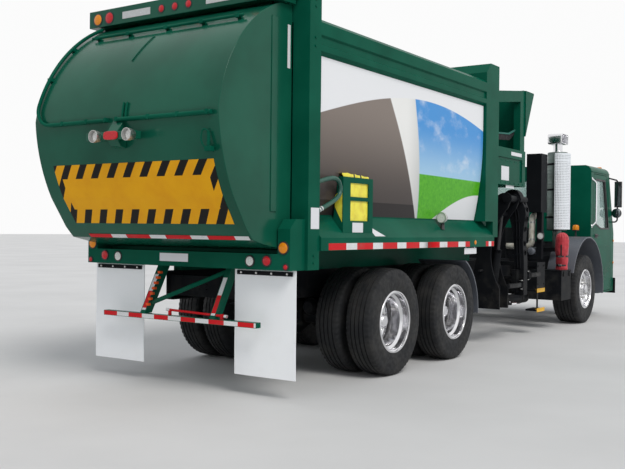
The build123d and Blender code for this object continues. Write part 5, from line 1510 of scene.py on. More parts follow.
@dataclass
class SoftGoods:
    """The hose loop, the cloth pouch in its holder and the canvas cover on the bottle."""

    hose_y: float = -1.192
    hose_radius: float = 0.020
    hose_length: float = 0.870
    hose: Line = ((-1.415, 1.816), (-1.270, 1.852), (-1.120, 1.874), (-1.038, 1.832), (-1.028, 1.745),
                  (-1.095, 1.686), (-1.260, 1.621), (-1.415, 1.569))
    collars: tuple[float, float] = (0.050, 0.085)
    pouch_front: float = -1.1942
    pouch_back: float = -1.1690
    pouch_ends: tuple[float, float] = (-0.972, -0.518)
    pouch_foot: float = 1.470
    pouch_head: float = 1.932
    holder_edge: float = 1.878
    strap_places: tuple[float, float] = (-0.22, 0.30)
    bottle: tuple[float, float] = (5.215, -1.125)
    hood_foot: float = 0.862
    hood_shoulder: float = 1.300
    hood_line: Line = ((0.862, 0.0835), (0.90, 0.0845), (1.02, 0.0905), (1.16, 0.0955), (1.30, 0.0965),
                       (1.345, 0.0905), (1.372, 0.078), (1.390, 0.060), (1.402, 0.042), (1.412, 0.020))
    hood_straps: tuple[float, float] = (0.930, 1.062)

    def build(self) -> None:
        """Build the cloth pieces; the hose has its own call."""
        self.pouches()
        self.cover()

    def hose_loop(self) -> None:
        """The hose as a curve over its route's points, with two pale collars near its lower end."""
        curve = bpy.data.curves.new("hose_loop_line", "CURVE")
        curve.dimensions = "3D"
        spline = curve.splines.new("NURBS")
        spline.points.add(len(self.hose) - 1)
        places = np.array([(at(x), self.hose_y, z, 1.0) for x, z in self.hose], np.float32)
        spline.points.foreach_set("co", places.ravel())
        spline.order_u = 3
        spline.use_endpoint_u = True
        curve.resolution_u = 16
        curve.render_resolution_u = 16
        hose = bpy.data.objects.new("hose_loop_cord", curve)
        bpy.context.scene.collection.objects.link(hose)
        line = bpy.data.meshes.new_from_object(hose)
        flat = np.empty(len(line.vertices) * 3)
        line.vertices.foreach_get("co", flat)
        points = flat.reshape(-1, 3)
        walked = np.append(0.0, np.cumsum(np.linalg.norm(np.diff(points, axis=0), axis=1)))
        bpy.data.meshes.remove(line)
        collars = Sculpt()
        for place in self.collars:
            marks = walked[-1] - place + np.linspace(-0.008, 0.008, 5)
            path = np.stack([np.interp(marks, walked, points[:, i]) for i in range(3)], -1)
            collars.tube(path, self.hose_radius + 0.0018, 28)
        rings = collars.finish("hose_collars", "tape_white")
        curve.bevel_depth = self.hose_radius
        curve.bevel_resolution = 8
        curve.use_fill_caps = True
        curve.materials.append(look("green_hose"))
        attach(hose, "chassis")
        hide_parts("hose_loop")
        LOG.info("hose_loop_cord: %.3f m long", walked[-1])

    def pouch_surface(self, u: Array, v: Array, face: float) -> Array:
        """A point of a pouch's face.

        The crown is (1-u^4)^0.5 (1-v^6)^0.5; sines of u and v fold the cloth and two straps pinch
        it, so the face lies at its seam plane plus crown times half the thickness less the folds.
        Above the holder's edge the inner face swells inwards as the cloth bunches.

        Args:
            u: place across, from -1 to 1.
            v: place up, from -1 to 1.
            face: -1 for the outer face, 1 for the inner one.

        Returns:
            Points, as u and v with a last axis of three.
        """
        rear, front = self.pouch_ends
        crown = np.sqrt(np.clip(1 - u**4, 0, 1)) * np.sqrt(np.clip(1 - v**6, 0, 1))
        folds = 0.5 * np.sin(5.1 * u + 6.3 * v + 1.2) + 0.3 * np.sin(11.7 * u - 9.1 * v + 1.9)
        folds += 0.2 * np.sin(23.0 * u + 4.0 * v) + 0.35 * np.sin(1.2 * u + 21.0 * v) * np.clip(v, 0, 1)
        straps = sum(np.exp(-(((u - place) / 0.07) ** 4)) for place in self.strap_places)
        pinch = straps * np.clip((v - 0.5) * 3, 0, 1)
        depth = (self.pouch_back - self.pouch_front) / 2
        bulge = crown * (1 - 0.16 * np.clip(folds, 0, 1)) - 0.20 * pinch * crown
        head = self.pouch_head - 0.020 * (u + 1) / 2 - 0.006 * np.abs(np.sin(6.0 * u + 0.8))
        height = (head - self.pouch_foot) / 2
        z = (self.pouch_foot + head) / 2 + height * v * (1 - 0.020 * np.abs(u) ** 8)
        swell = 0.034 + 0.055 * np.clip(0.1 - u, 0, 1) + 0.006 * np.sin(14 * u)
        bunch = np.clip((z - self.holder_edge) / 0.030, 0, 1) * swell * (face > 0)
        seam = np.sqrt(np.clip(1 - v**14, 0, 1))
        y = (self.pouch_back + self.pouch_front) / 2 + face * depth * bulge + bunch * seam
        over = 0.022 * np.clip((z - self.holder_edge - 0.015) / 0.02, 0, 1) * np.clip(-u, 0, 1) ** 3
        taper = 1 - 0.02 * np.abs(v) ** 10 - 0.008 * np.sin(5 * v) ** 2
        x = (rear + front) / 2 + (front - rear) / 2 * u * taper
        return np.stack([at(0) + x - over, y, z], -1)

    def pouches(self) -> None:
        """A wide cloth pouch whose bunched top stands out of the holder under two black straps."""
        cloth, straps = Sculpt(), Sculpt()
        u, v = np.meshgrid(np.linspace(-1, 1, 81), np.linspace(-1, 1, 97))
        for face in (-1, 1):
            cloth.grid(self.pouch_surface(u, v, face))
        for middle in self.strap_places:
            u, v = np.meshgrid(middle + np.linspace(-0.045, 0.045, 5), np.linspace(0.66, 0.985, 25))
            outer = self.pouch_surface(u, v, -1) + row(0, -0.0003, 0)
            inner = self.pouch_surface(u, v, 1) + row(0, 0.0010, 0)
            rise = row(0, 0, 0.0022) * np.linspace(0, 1, 25)[:, None, None] ** 6
            straps.slab(np.vstack([outer + rise, (inner + rise)[::-1]]), 0.0012, out=(0, -1, 0))
        x = at(-1.0055)
        corner = np.array([[(x, -1.196, 1.485), (x, -1.196, 1.80)], [(x, -1.120, 1.620), (x, -1.120, 1.72)]])
        cloth.slab(corner, 0.0012, out=(-1, 0, 0))
        bags = cloth.finish("cloth_pouch", "bag", replaces=["kit_bags"], smooth_angle=80)
        straps.finish("pouch_straps", "trim", slot="black_paint", smooth_angle=70)

    def cover(self) -> None:
        """Red canvas hood over the bottle, gathered at its neck and held by two strapped buckles.

        The radius at an angle a and height z is the hood's line plus pleats, a sine of 13 a that
        grows towards the neck, plus slow folds, less a pinch exp(-((z-s)/w)^2) at each strap s.
        """
        x, y = at(self.bottle[0]), self.bottle[1]
        shoulder = self.hood_shoulder
        top = self.hood_line[-1][0]
        z = np.append(np.linspace(self.hood_foot, shoulder, 60), np.linspace(shoulder + 0.004, top, 34))
        turn = np.linspace(0, 2 * math.pi, 144, endpoint=False)
        line = np.interp(z, *np.transpose(self.hood_line))
        near = np.clip((z - shoulder) / 0.10, 0, 1)[:, None]
        a, h = np.meshgrid(turn, z)
        pleats = (0.0035 * near + 0.0006) * np.sin(13 * a + 0.7 * np.sin(2 * a))
        slow = 0.0042 * np.sin(2 * a + 9.0 * h) * np.sin(5.0 * h + 0.8) + 0.0022 * np.sin(5 * a - 23.0 * h)
        folds = 0.0014 * np.abs(np.sin(2 * a + 31.0 * h)) * (1 - near)
        pinch = sum(0.0070 * np.exp(-(((h - s) / 0.020) ** 2)) for s in self.hood_straps)
        cloth, straps, buckles = Sculpt(), Sculpt(), Sculpt()
        radius = line[:, None] + pleats + slow * (1 - near) - folds - pinch
        cloth.grid(bent((x, y), radius, a, h), close_v=True)
        cloth.caps(0, (len(z) - 1) * len(turn), len(turn))
        canvas = cloth.finish("canvas_hood", "canvas", replaces=["extinguisher"], smooth_angle=70)
        for s in self.hood_straps:
            reach = float(np.interp(s, z, line)) - 0.0045
            straps.band((x, y, s), "z", 0.012, reach - 0.004, reach, 64)
            near = x - reach
            buckles.boxes(row(near - 0.006, y - 0.022, s - 0.016), row(near + 0.001, y + 0.022, s + 0.016))
        straps.boxes(row(x - 0.0985, y - 0.030, 1.062), row(x - 0.0945, y - 0.012, 1.235))
        straps.finish("hood_straps", "trim", slot="black_paint")
        buckles.finish("hood_buckles", "zinc", bevel=0.002)


# Silencer stack and the gear beside it


@dataclass
class Stack:
    """The silencer with its perforated shield, polished outlet, pipe clamps and small gear near it."""

    station: float = 5.500
    side_y: float = -0.950
    radius: float = 0.150
    low: float = 1.440
    high: float = 2.620
    shield_radius: float = 0.1895
    shield_low: float = 1.460
    shield_high: float = 2.600
    columns: int = 23
    rows: int = 47
    outlet: tuple[float, float, float] = (0.150, 0.0775, 2.8175)
    squareness: float = 0.28
    clamp_heights: tuple[float, float, float] = (2.439, 2.056, 1.640)
    frame_depths: tuple[float, float] = (-0.0115, 0.0005)
    tank: tuple[float, float, float] = (4.980, -0.785, 1.137)
    light: tuple[float, float, float] = (4.860, -0.930, 1.358)
    beacon: tuple[float, float] = (6.420, -0.950)

    def build(self) -> None:
        """Build the silencer and its gear."""
        self.silencer()
        self.shield()
        self.pipe_clamps()
        self.gear()

    def outlet_ring(self, shrink: float, side: float) -> Array:
        """A rounded square at a distance out: half its size times |cos|^p and |sin|^p of the angle."""
        half_x, half_z, middle = self.outlet
        turn = np.linspace(0, 2 * math.pi, 48, endpoint=False)
        c, s = (np.sign(f) * np.abs(f) ** self.squareness for f in (np.cos(turn), np.sin(turn)))
        across, up = (half_x - shrink) * c, (half_z - shrink) * s
        return np.stack([at(self.station) + across, 0 * turn + side, middle + up], -1)

    def silencer(self) -> None:
        """Can, neck, square outlet whose mouth ends a little way in at a matt black sheet of painted shade,
        pipe and bracket in place of the plain ones.
        """
        x, y, r = at(self.station), self.side_y, self.radius
        sculpt, plate = Sculpt(), Sculpt()
        low, high = self.low, self.high
        sculpt.lathe([(low, 0.066), (low, r - 0.012), (low + 0.006, r - 0.003), (low + 0.014, r),
                      (high - 0.014, r), (high - 0.006, r - 0.003), (high, r - 0.012), (high, 0.062)],
                     (x, y, 0), "z", 72)
        sculpt.lathe([(1.180, 0.050), (1.180, 0.065), (1.4402, 0.065), (1.4402, 0.050)], (x, y, 0), "z", 48)
        sculpt.lathe([(2.619, 0.060), (2.619, 0.078), (2.634, 0.078), (2.638, 0.070), (2.7405, 0.070),
                      (2.7405, 0.060)], (x, y, 0), "z", 48, 1)
        rings = ((0.022, -0.8405), (0.004, -0.8402), (0.0, -0.846), (0.0, -1.056), (0.002, -1.060),
                 (0.008, -1.060), (0.010, -1.054), (0.010, -0.856))
        start = sculpt.count
        sculpt.grid(np.stack([self.outlet_ring(*ring) for ring in rings]), close_v=True, finish=1)
        # The far cap takes finish 2, the matt black sheet of painted shade deep in the mouth.
        sculpt.caps(start, sculpt.count - 48, 48, 1, 2)
        sculpt.boxes(row(x - 0.060, y, 1.120), row(x + 0.060, -0.372, 1.180), 3)
        sculpt.boxes(row(x - 0.060, -0.432, 1.020), row(x + 0.060, -0.372, 1.120), 3)
        for z in self.clamp_heights:
            sculpt.band((x, y, z), "z", 0.015, r - 0.001, r + 0.005, 72, 3)
            near, far = y + r + 0.002, y + r + 0.024
            sculpt.boxes(row(x - 0.030, near, z - 0.014), row(x + 0.030, far, z + 0.014), 3)
        sculpt.finish("silencer", "can polished dark black", replaces=["exhaust"])
        angle, z = np.meshgrid(np.radians(np.linspace(186, 212, 9)), np.array([1.585, 1.655]))
        plate.slab(bent((x, y), r, angle, z), 0.0012, 0.0003, out=(-1, 0, 0))
        plate.finish("silencer_plate", "plate")

    def shield(self) -> None:
        """Perforated sheet bent round the silencer.

        Each square cell is ruled from the eight points of its round hole to the eight of its
        border; a point (s, z) of the flat sheet goes to the angle s / r on the cylinder.
        """
        centre, r = (at(self.station), self.side_y), self.shield_radius
        low, high = self.shield_low, self.shield_high
        first = math.pi + math.asin(0.02 / r)
        span = math.pi - 2 * math.asin(0.02 / r)
        turn = np.arange(8) * math.pi / 4
        compass = np.stack([np.cos(turn), np.sin(turn)], -1)
        cell = np.stack([0.22 * compass, 0.5 * np.round(compass * math.sqrt(2) * 0.999)])
        i, j = np.meshgrid(np.arange(self.columns) + 0.5, np.arange(self.rows) + 0.5)
        flat = np.stack([i.ravel(), j.ravel()], -1)[:, None, None] + cell[None]
        angle = first + span * flat[..., 0] / self.columns
        points = bent(centre, r, angle, low + (high - low) * flat[..., 1] / self.rows)
        hole = np.arange(8)
        one = np.stack([hole, hole + 8, np.roll(hole, -1) + 8, np.roll(hole, -1)], -1)
        faces = one[None] + 16 * np.arange(len(flat))[:, None, None]
        sheet, frame_parts = Sculpt(), Sculpt()
        sheet.add(points, faces.reshape(-1, 4).tolist(), 0)
        sheet.finish("silencer_shield", "shield", replaces=["heat_shield"], sheet=0.003)
        arc = np.linspace(first, first + span, 49)
        inside, outside = self.frame_depths
        for middle, half in ((low + 0.009, 0.009), (1.846, 0.007), (2.489, 0.007), (high - 0.009, 0.009)):
            corners = ((inside, -half), (outside, -half), (outside, half), (inside, half))
            band = [bent(centre, r + depth, arc, middle + rise) for depth, rise in corners]
            frame_parts.grid(np.stack(band), close_u=True)
        for end in (first, first + span):
            a = row(math.cos(end), math.sin(end))
            inner, outer = row(*centre) + a * (r + inside), row(*centre) + a * (r + outside)
            near, far = np.minimum(inner, outer) - row(0, 0.002), np.maximum(inner, outer) + row(0, 0.002)
            frame_parts.boxes(np.append(near, low), np.append(far, high))
        x, y = centre
        for z in (1.660, 2.360):
            frame_parts.boxes(row(x - 0.020, y - r + 0.003, z), row(x + 0.020, y - self.radius, z + 0.040))
        frame_parts.finish("shield_frame", "shield")

    def pipe_clamps(self) -> None:
        """Bands round the pale pipe, which leans a little on both its runs."""
        bands = Sculpt()
        for station in (5.050, 5.300):
            share = (station - 4.960) / 0.370
            bands.band(spot(station, -0.760 + 0.020 * share, 1.660), "x", 0.010, 0.0445, 0.0485, 40)
        for z in (1.560, 1.310):
            share = (1.660 - z) / 0.460
            bands.band(spot(4.960 - 0.010 * share, -0.760, z), "z", 0.010, 0.0445, 0.0485, 40)
        bands.finish("pipe_bands", "zinc")

    def gear(self) -> None:
        """Work light, small air tank and the amber beacon on the fender."""
        black, metal, glass, amber = Sculpt(), Sculpt(), Sculpt(), Sculpt()
        x, y, z = spot(*self.light)
        black.lathe([(-0.040, 0.0505), (-0.036, 0.0545), (-0.020, 0.054), (0.010, 0.046), (0.030, 0.026),
                     (0.034, 0.001), (-0.024, 0.001), (-0.026, 0.047), (-0.034, 0.0495)], (x, y, z), "x", 40)
        glass.lathe([(-0.0265, 0.001), (-0.038, 0.001), (-0.034, 0.040), (-0.027, 0.046)], (x, y, z), "x", 40)
        black.rods((x + 0.020, y + 0.020, z), (at(4.902), y + 0.020, z), 0.012)
        black.boxes(spot(4.886, y - 0.030, z - 0.060), spot(4.9005, y + 0.060, z + 0.060))
        tank = spot(*self.tank)
        metal.lathe([(-0.150, 0.001), (-0.148, 0.030), (-0.138, 0.048), (-0.122, 0.055), (0.122, 0.055),
                     (0.138, 0.048), (0.148, 0.030), (0.150, 0.001)], tank, "x", 48, closed=False)
        for s in (-0.075, 0.075):
            black.band(tank + row(s, 0, 0), "x", 0.012, 0.0545, 0.0575, 48)
        x, y, z = spot(*self.beacon, 0)
        amber.lathe([(1.455, 0.001), (1.455, 0.048), (1.462, 0.052), (1.515, 0.050), (1.532, 0.040),
                     (1.540, 0.001)], (x, y, z), "z", 40, closed=False)
        black.lathe([(1.438, 0.001), (1.438, 0.044), (1.444, 0.056), (1.456, 0.056), (1.456, 0.001)],
                    (x, y, z), "z", 40)
        black.rods((x, y, 1.318), (x, y, 1.440), 0.014, 20)
        black.lathe([(1.3165, 0.001), (1.3165, 0.038), (1.326, 0.036), (1.330, 0.016), (1.330, 0.001)],
                    (x, y, z), "z", 32)
        black.finish("stack_gear_black", "trim", slot="black_paint", bevel=0.001)
        metal.finish("small_air_tank", "plastic")
        glass.finish("work_light_glass", "clear")
        amber.finish("fender_beacon", "amber")


# Cab


@dataclass
class CabTrim:
    """Rails, handles, rubbers, lamps, mirror glasses, wipers and grille of the cab."""

    skin_y: float = 1.150
    front: float = 7.880
    roof_z: float = 2.500
    rail_station: float = 6.640
    rail_side: float = 1.205
    rail_heights: tuple[float, float] = (1.520, 2.280)
    window: Line = ((6.790, 1.560), (6.790, 2.280), (7.330, 2.280), (7.570, 1.480), (7.100, 1.480))
    divider: Line = ((7.300, 2.270), (7.322, 2.270), (7.472, 1.495), (7.450, 1.495))
    swage_heights: tuple[float, float] = (1.180, 0.760)
    mirror_station: float = 7.740
    mirror_sides: tuple[float, float] = (1.207, 1.298)
    marker_heights: tuple[float, float] = (1.280, 0.906)
    roof_markers: tuple[float, ...] = (-1.020, -0.500, 0.0, 0.500, 1.020)
    slope: tuple[float, float, float] = (-0.320, 0, 1.0)

    def build(self) -> None:
        """Build every detail of the cab."""
        self.rails()
        self.doors()
        self.mirror_glasses()
        self.markers()
        self.face()
        self.wipers()
        self.roof()

    def rails(self) -> None:
        """A bright grab rail behind each door."""
        rail = Sculpt()
        near, far = at(self.rail_station - 0.045), at(self.rail_station)
        low, high = self.rail_heights
        for side in Side:
            s = side.value
            skin, out = s * self.skin_y, s * self.rail_side
            corners = [(near, skin, high), (far, out, high - 0.060), (far, out, low + 0.060),
                       (near, skin, low)]
            rail.tube(rounded_path(corners, 0.035, 8), 0.014, 20)
            for z in (low, high):
                foot, top = s * (self.skin_y - 0.0005), s * (self.skin_y + 0.006)
                rail.rods((near, foot, z), (near, top, z), 0.026, 24)
        rail.finish("cab_grab_rails", "chrome")

    def doors(self) -> None:
        """Window rubber with a divider bar, the handle and two pressed swages on each door."""
        window = np.array(self.window)
        middle = window.mean(0)
        grown, shrunk = (middle + (window - middle) * share for share in (1.028, 0.955))
        bar = [(at(station), z) for station, z in self.divider]
        for side in Side:
            s = side.value
            body = f"door_{side.word}"
            rubber, handle, press = Sculpt(), Sculpt(), Sculpt()
            levels = ((grown, 1.1502), (grown, 1.154), (shrunk, 1.154), (shrunk, 1.132))
            rubber.grid(np.stack([upright(line, s * y) for line, y in levels]), close_u=True, close_v=True)
            rubber.prism(bar, "xz", *sorted((s * 1.130, s * 1.1515)))
            rubber.finish(f"door_rubber_{side.word}", "trim", body, bevel=0.0015)
            handle.boxes(spot(6.770, s * 1.1502, 1.335), spot(6.930, s * 1.156, 1.395))
            grip = ((6.785, 1.152), (6.800, 1.180), (6.900, 1.180), (6.915, 1.152))
            handle.tube(rounded_path([(at(x), s * y, 1.366) for x, y in grip], 0.015, 6), 0.009, 14)
            handle.finish(f"door_handle_{side.word}", "trim", body, slot="black_paint", bevel=0.003)
            for z in self.swage_heights:
                press.boxes(spot(6.960, s * 1.1502, z), spot(7.600, s * 1.1545, z + 0.022))
            press.finish(f"door_swage_{side.word}", "green", body, bevel=0.002)

    def mirror_glasses(self) -> None:
        """Mirror glass, its housing's rim and the clamps on each hoop."""
        glass, rim = Sculpt(), Sculpt()
        x = at(self.mirror_station)
        for side in Side:
            s = side.value
            low, high = sorted(s * y for y in self.mirror_sides)
            glass.boxes(row(x - 0.0035, low, 1.868), row(x - 0.0012, high, 2.272))
            rim.boxes(row(x - 0.0030, low - 0.011, 1.852), row(x - 0.0002, high + 0.011, 2.288))
            glass.domes(spot(7.735, s * 1.230, 1.750), 0.072, 0.012, (-1, 0, 0))
            y = s * 1.240
            for z in (1.930, 2.210):
                rim.boxes(spot(7.752, y - 0.024, z - 0.02), spot(7.786, y + 0.024, z + 0.02))
        glass.finish("mirror_glasses", "mirror")
        rim.finish("mirror_rims", "trim", bevel=0.0008)

    def markers(self) -> None:
        """Amber markers on the roof's edge and the sides."""
        amber, base = Sculpt(), Sculpt()
        for side in Side:
            s, out = side.value, self.skin_y
            for z in self.marker_heights:
                amber.domes(spot(self.front - 0.030, s * (out + 0.004), z), 0.022, 0.012, (0, s, 0))
                base.rods(spot(7.850, s * (out + 0.0002), z), spot(7.850, s * (out + 0.005), z), 0.028, 28)
        turn = np.linspace(0, math.pi, 13)
        for y in self.roof_markers:
            z = self.roof_z - (0.012 if abs(y) > 1 else 0.0)
            outline = np.stack([at(7.440) + 0.045 * np.cos(turn), z + 0.036 * np.sin(turn)], -1)
            amber.prism(outline, "xz", y - 0.030, y + 0.030)
            base.boxes(spot(7.385, y - 0.036, z - 0.012), spot(7.495, y + 0.036, z + 0.004))
        amber.finish("cab_amber_markers", "amber", bevel=0.003)
        base.finish("cab_marker_bases", "trim", bevel=0.001)

    def face(self) -> None:
        """Grille mesh, headlamp bezels and turn lamps."""
        x = at(self.front)
        grille, rim, lamp = Sculpt(), Sculpt(), Sculpt()
        for i in range(5):
            z = 0.760 + 0.090 * i
            grille.boxes(row(x - 0.035, -0.421, z + 0.0005), row(x - 0.030, 0.421, z + 0.0445))
        bars = np.linspace(-0.40, 0.40, 21)
        grille.boxes(np.stack([0 * bars + x - 0.030, bars - 0.003, 0 * bars + 0.75], -1),
                     np.stack([0 * bars + x - 0.018, bars + 0.003, 0 * bars + 1.175], -1))
        grille.finish("grille_mesh", "trim")
        bezel = [(0.0, 0.094), (0.0, 0.112), (0.014, 0.110), (0.024, 0.100), (0.022, 0.094)]
        for s in (-1, 1):
            rim.lathe(bezel, (x, s * 0.900, 0.820), "x", 56)
            lamp.boxes(row(x + 0.0002, s * 0.700, 1.000), row(x + 0.012, s * 0.830, 1.060))
            rim.boxes(row(x + 0.0001, s * 0.690, 0.990), row(x + 0.008, s * 0.840, 1.070))
        rim.finish("headlamp_rims", "chrome", bevel=0.001)
        lamp.finish("front_turn_lamps", "amber", bevel=0.002)

    def wipers(self) -> None:
        """Two wipers that lie along the windscreen's slope, and the screen's rubber at foot and head."""
        x = at(self.front)
        slope = np.array(self.slope) / np.linalg.norm(self.slope)
        off = row(slope[2], 0, -slope[0])
        wipers, seal = Sculpt(), Sculpt()
        for s in (-1, 1):
            foot = row(x - 0.006, s * 0.250, 1.402) + off * 0.014
            tip = foot + slope * 0.46 + row(0, s * 0.30, 0)
            wipers.tube(np.linspace(foot, tip, 6), 0.007, 10)
            blade = tip - slope * 0.06
            wipers.tube(np.array([blade - slope * 0.30, blade, blade + slope * 0.30]), 0.008, 8)
            wipers.rods(foot - off * 0.013, foot + off * 0.010, 0.016, 20)
        wipers.finish("wipers", "trim")
        for z in (1.462, 2.328):
            base = row(x + (1.400 - z) * 0.320, 0, z)
            seal.boxes(base + row(-0.022, -1.040, -0.012), base + row(0.003, 1.040, 0.012))
        seal.finish("windscreen_rubber", "trim", bevel=0.002)

    def roof(self) -> None:
        """Two pressed ribs and a gutter along each side of the roof."""
        ribs = Sculpt()
        turn = np.linspace(0, math.pi, 9)
        across, up = 0.060 * np.cos(turn), self.roof_z - 0.0005 + 0.010 * np.sin(turn)
        for y in (-0.45, 0.45):
            ribs.prism(np.stack([y + across, up], -1), "yz", at(6.620), at(7.300))
        for side in Side:
            s = side.value
            ribs.boxes(spot(6.555, s * 1.1502, 2.392), spot(7.558, s * 1.160, 2.404))
        ribs.finish("roof_ribs", "green", bevel=0.002)


# Loading arm, hopper and frame details


@dataclass
class Arm:
    """Caps, pipes, cylinder, hoses, bolts and pads of the loading arm.

    Holes, pipes and the mast's bolts are rows of side distance and height.
    """

    pivot: tuple[float, float] = (-1.205, 1.830)
    boom_rear: float = 3.290
    holes: Line = ((-1.232, 1.795), (-1.270, 1.700), (-1.273, 1.580), (-1.2525, 1.455), (-1.2435, 1.265),
                   (-1.2535, 1.145))
    pipe: Line = ((-1.120, 1.800), (-1.168, 1.660), (-1.180, 1.450), (-1.182, 1.250), (-1.196, 1.040),
                  (-1.200, 0.950))
    clips: Line = ((-1.176, 1.560), (-1.181, 1.340), (-1.191, 1.120))
    cylinder: float = 2.955
    mast_bolts: Line = ((-0.84, 0.56), (-1.05, 0.56), (-0.84, 0.68), (-1.05, 0.68), (-0.97, 1.20),
                        (-1.08, 1.55))
    pins: Line = ((3.250, 0.740), (3.480, 0.850))
    pin_side: float = -1.245
    finger_length: float = 0.450

    def build(self) -> None:
        """Build the arm's details."""
        self.boom()
        self.mast()
        self.hoses()
        self.fingers()

    def boom(self) -> None:
        """Rims of the holes, pipes on the rear face, pivot cap and the head's bolts."""
        steel, rear = Sculpt(), at(self.boom_rear)
        for y, z in self.holes:
            steel.lathe([(0.004, 0.0325), (-0.005, 0.0325), (-0.005, 0.039), (0.004, 0.039)],
                        (at(3.355), y, z), "y", 32)
        for shift in (-0.018, 0.018):
            path = [(rear - 0.010, y + shift, z) for y, z in self.pipe]
            steel.tube(rounded_path(path, 0.12), 0.008, 10)
        for y, z in self.clips:
            steel.boxes(row(rear - 0.021, y - 0.034, z - 0.012), row(rear, y + 0.034, z + 0.012))
        heads = np.array([(at(3.160), y, z) for y in (-1.182, -1.158) for z in (0.665, 0.785, 0.905)])
        steel.heads(heads, row(-0.009, 0, 0), 0.010)
        cap = [(0.0, 0.002), (0.014, 0.002), (0.014, 0.034), (0.008, 0.041), (0.0, 0.041)]
        steel.lathe(cap, spot(3.440, *self.pivot), "x", 40)
        steel.finish("boom_details", "black", "arm_boom", smooth_angle=50)

    def mast(self) -> None:
        """Lift cylinder between the mast plates, a dark bar and the shaft's collars."""
        body, rod, x = Sculpt(), Sculpt(), self.cylinder
        foot, knee, head = spot(x, -0.985, 0.700), spot(x, -1.040, 1.180), spot(x, -1.085, 1.640)
        half = row(0.125, 0, 0)
        body.rods([foot, knee - (knee - foot) * 0.06, foot - half],
                  [knee, knee + (knee - foot) * 0.02, foot + half], 0.052, 28)
        body.rods(head - half, head + half, 0.034, 24)
        collar = np.array([(-0.006, 0.046), (-0.006, 0.070), (0.0, 0.074), (0.0, 0.046)])
        body.lathe(collar, spot(2.7995, *self.pivot), "x", 40)
        body.lathe(collar * row(-1, 1), spot(3.1105, *self.pivot), "x", 40)
        for station, length in ((2.800, -0.009), (3.110, 0.009)):
            body.heads(np.array([spot(station, y, z) for y, z in self.mast_bolts]), row(length, 0, 0), 0.013)
        body.finish("lift_cylinder", "black", "arm_carriage", smooth_angle=50)
        rod.rods(knee, head, 0.025, 24)
        rod.rods(spot(2.705, -0.900, 0.925), spot(3.140, -0.900, 0.925), 0.013, 16)
        rod.finish("lift_rod", "trim", "arm_carriage", slot="polished", smooth_angle=50)

    def hoses(self) -> None:
        """Four hoses side by side up the mast."""
        hoses = Sculpt()
        for k in range(4):
            x = at(2.870 + 0.045 * k)
            corners = [(x, -0.775, 0.700), (x, -0.800 - 0.02 * k, 1.050),
                       (x - 0.01, -0.930, 1.250 + 0.05 * k), (x + 0.01, -1.020 + 0.01 * k, 1.600),
                       (x, -1.120, 1.740)]
            hoses.tube(rounded_path(corners, 0.12), 0.011, 10)
        hoses.finish("mast_hoses", "hose", "arm_carriage", smooth_angle=60)

    def fingers(self) -> None:
        """Pin caps and rubber pads; a pad's offset from the pin line is -12 - 60 t + 64 t^2 mm."""
        t = np.linspace(0.16, 0.96, 25)
        for name, (station, z), way in (("rear", self.pins[0], -1), ("front", self.pins[1], 1)):
            caps, pads = Sculpt(), Sculpt()
            for s in (1, -1):
                caps.heads(spot(station, self.pin_side, z + s * 0.049), row(0, 0, s * 0.010), 0.020)
            caps.finish(f"finger_caps_{name}", "zinc", "arm_boom")
            reach = at(station) + self.finger_length * way * t
            y = self.pin_side - 0.001 * (12 + 60 * t - 64 * t**2)
            strip = [np.stack([reach, y, 0 * t + level], -1) for level in (z - 0.022, z + 0.022)]
            pads.slab(np.stack(strip), 0.007, 0.0006, out=(0, -1, 0))
            pads.finish(f"finger_pad_{name}", "rubber", f"finger_{name}", slot="black_paint")


@dataclass
class HopperTrim:
    """Rim strip and far-wall lining in a lighter teal of painted light, a black band of painted shade under
    the rim, and bolts of the hopper's side mouth.
    """

    rim: Line = ((2.700, 2.652), (2.815, 2.658), (3.108, 2.677), (3.425, 2.776))
    # Lower edge of the black band of painted shade under the rim, as station and height.
    shade_band_foot: Line = ((2.700, 2.560), (2.815, 2.566), (3.150, 2.590), (3.425, 2.738))
    rim_side: float = -1.100
    bolt_heights: tuple[float, float] = (2.025, 2.300)

    def build(self) -> None:
        """Build the painted-lit rim, the black band of painted shade under it, the painted-lit lining on the
        far wall and the bolt heads.
        """
        chute, flap, heads = Sculpt(), Sculpt(), Sculpt()
        out = (0, -1, 0)
        # Rim strip and far-wall lining take the lighter chute teal: painted light on the mouth's lit inner
        # sheets.
        near = upright(np.array(self.rim), self.rim_side)
        chute.slab(np.stack([near, near - row(0, 0, 0.020)]), 0.016, out=out)
        x, z = np.meshgrid(np.linspace(2.380, 3.440, 9), np.linspace(2.480, 2.960, 9))
        lining = np.stack([at(0) + x, 0 * x + 1.150 - 0.010 * (z - 2.48), z], -1)
        chute.slab(lining, 0.003, out=out)
        chute.finish("chute_sheets", "chute", smooth_angle=40)
        # Black band under the rim: a dark sheet of painted shade for the shaded inside below the mouth's lip.
        foot = upright(np.array(self.shade_band_foot), self.rim_side + 0.004)
        flap.slab(np.stack([near - row(0, 0, 0.018), foot]), 0.006, out=out)
        flap.finish("chute_shade_band", "rubber", slot="black_paint")
        stations = np.linspace(2.48, 3.38, 7)
        spots = np.array([(at(x), -1.200, z) for z in self.bolt_heights for x in stations])
        heads.heads(spots, row(0, -0.006, 0), 0.009)
        heads.finish("hopper_bolts", "green")


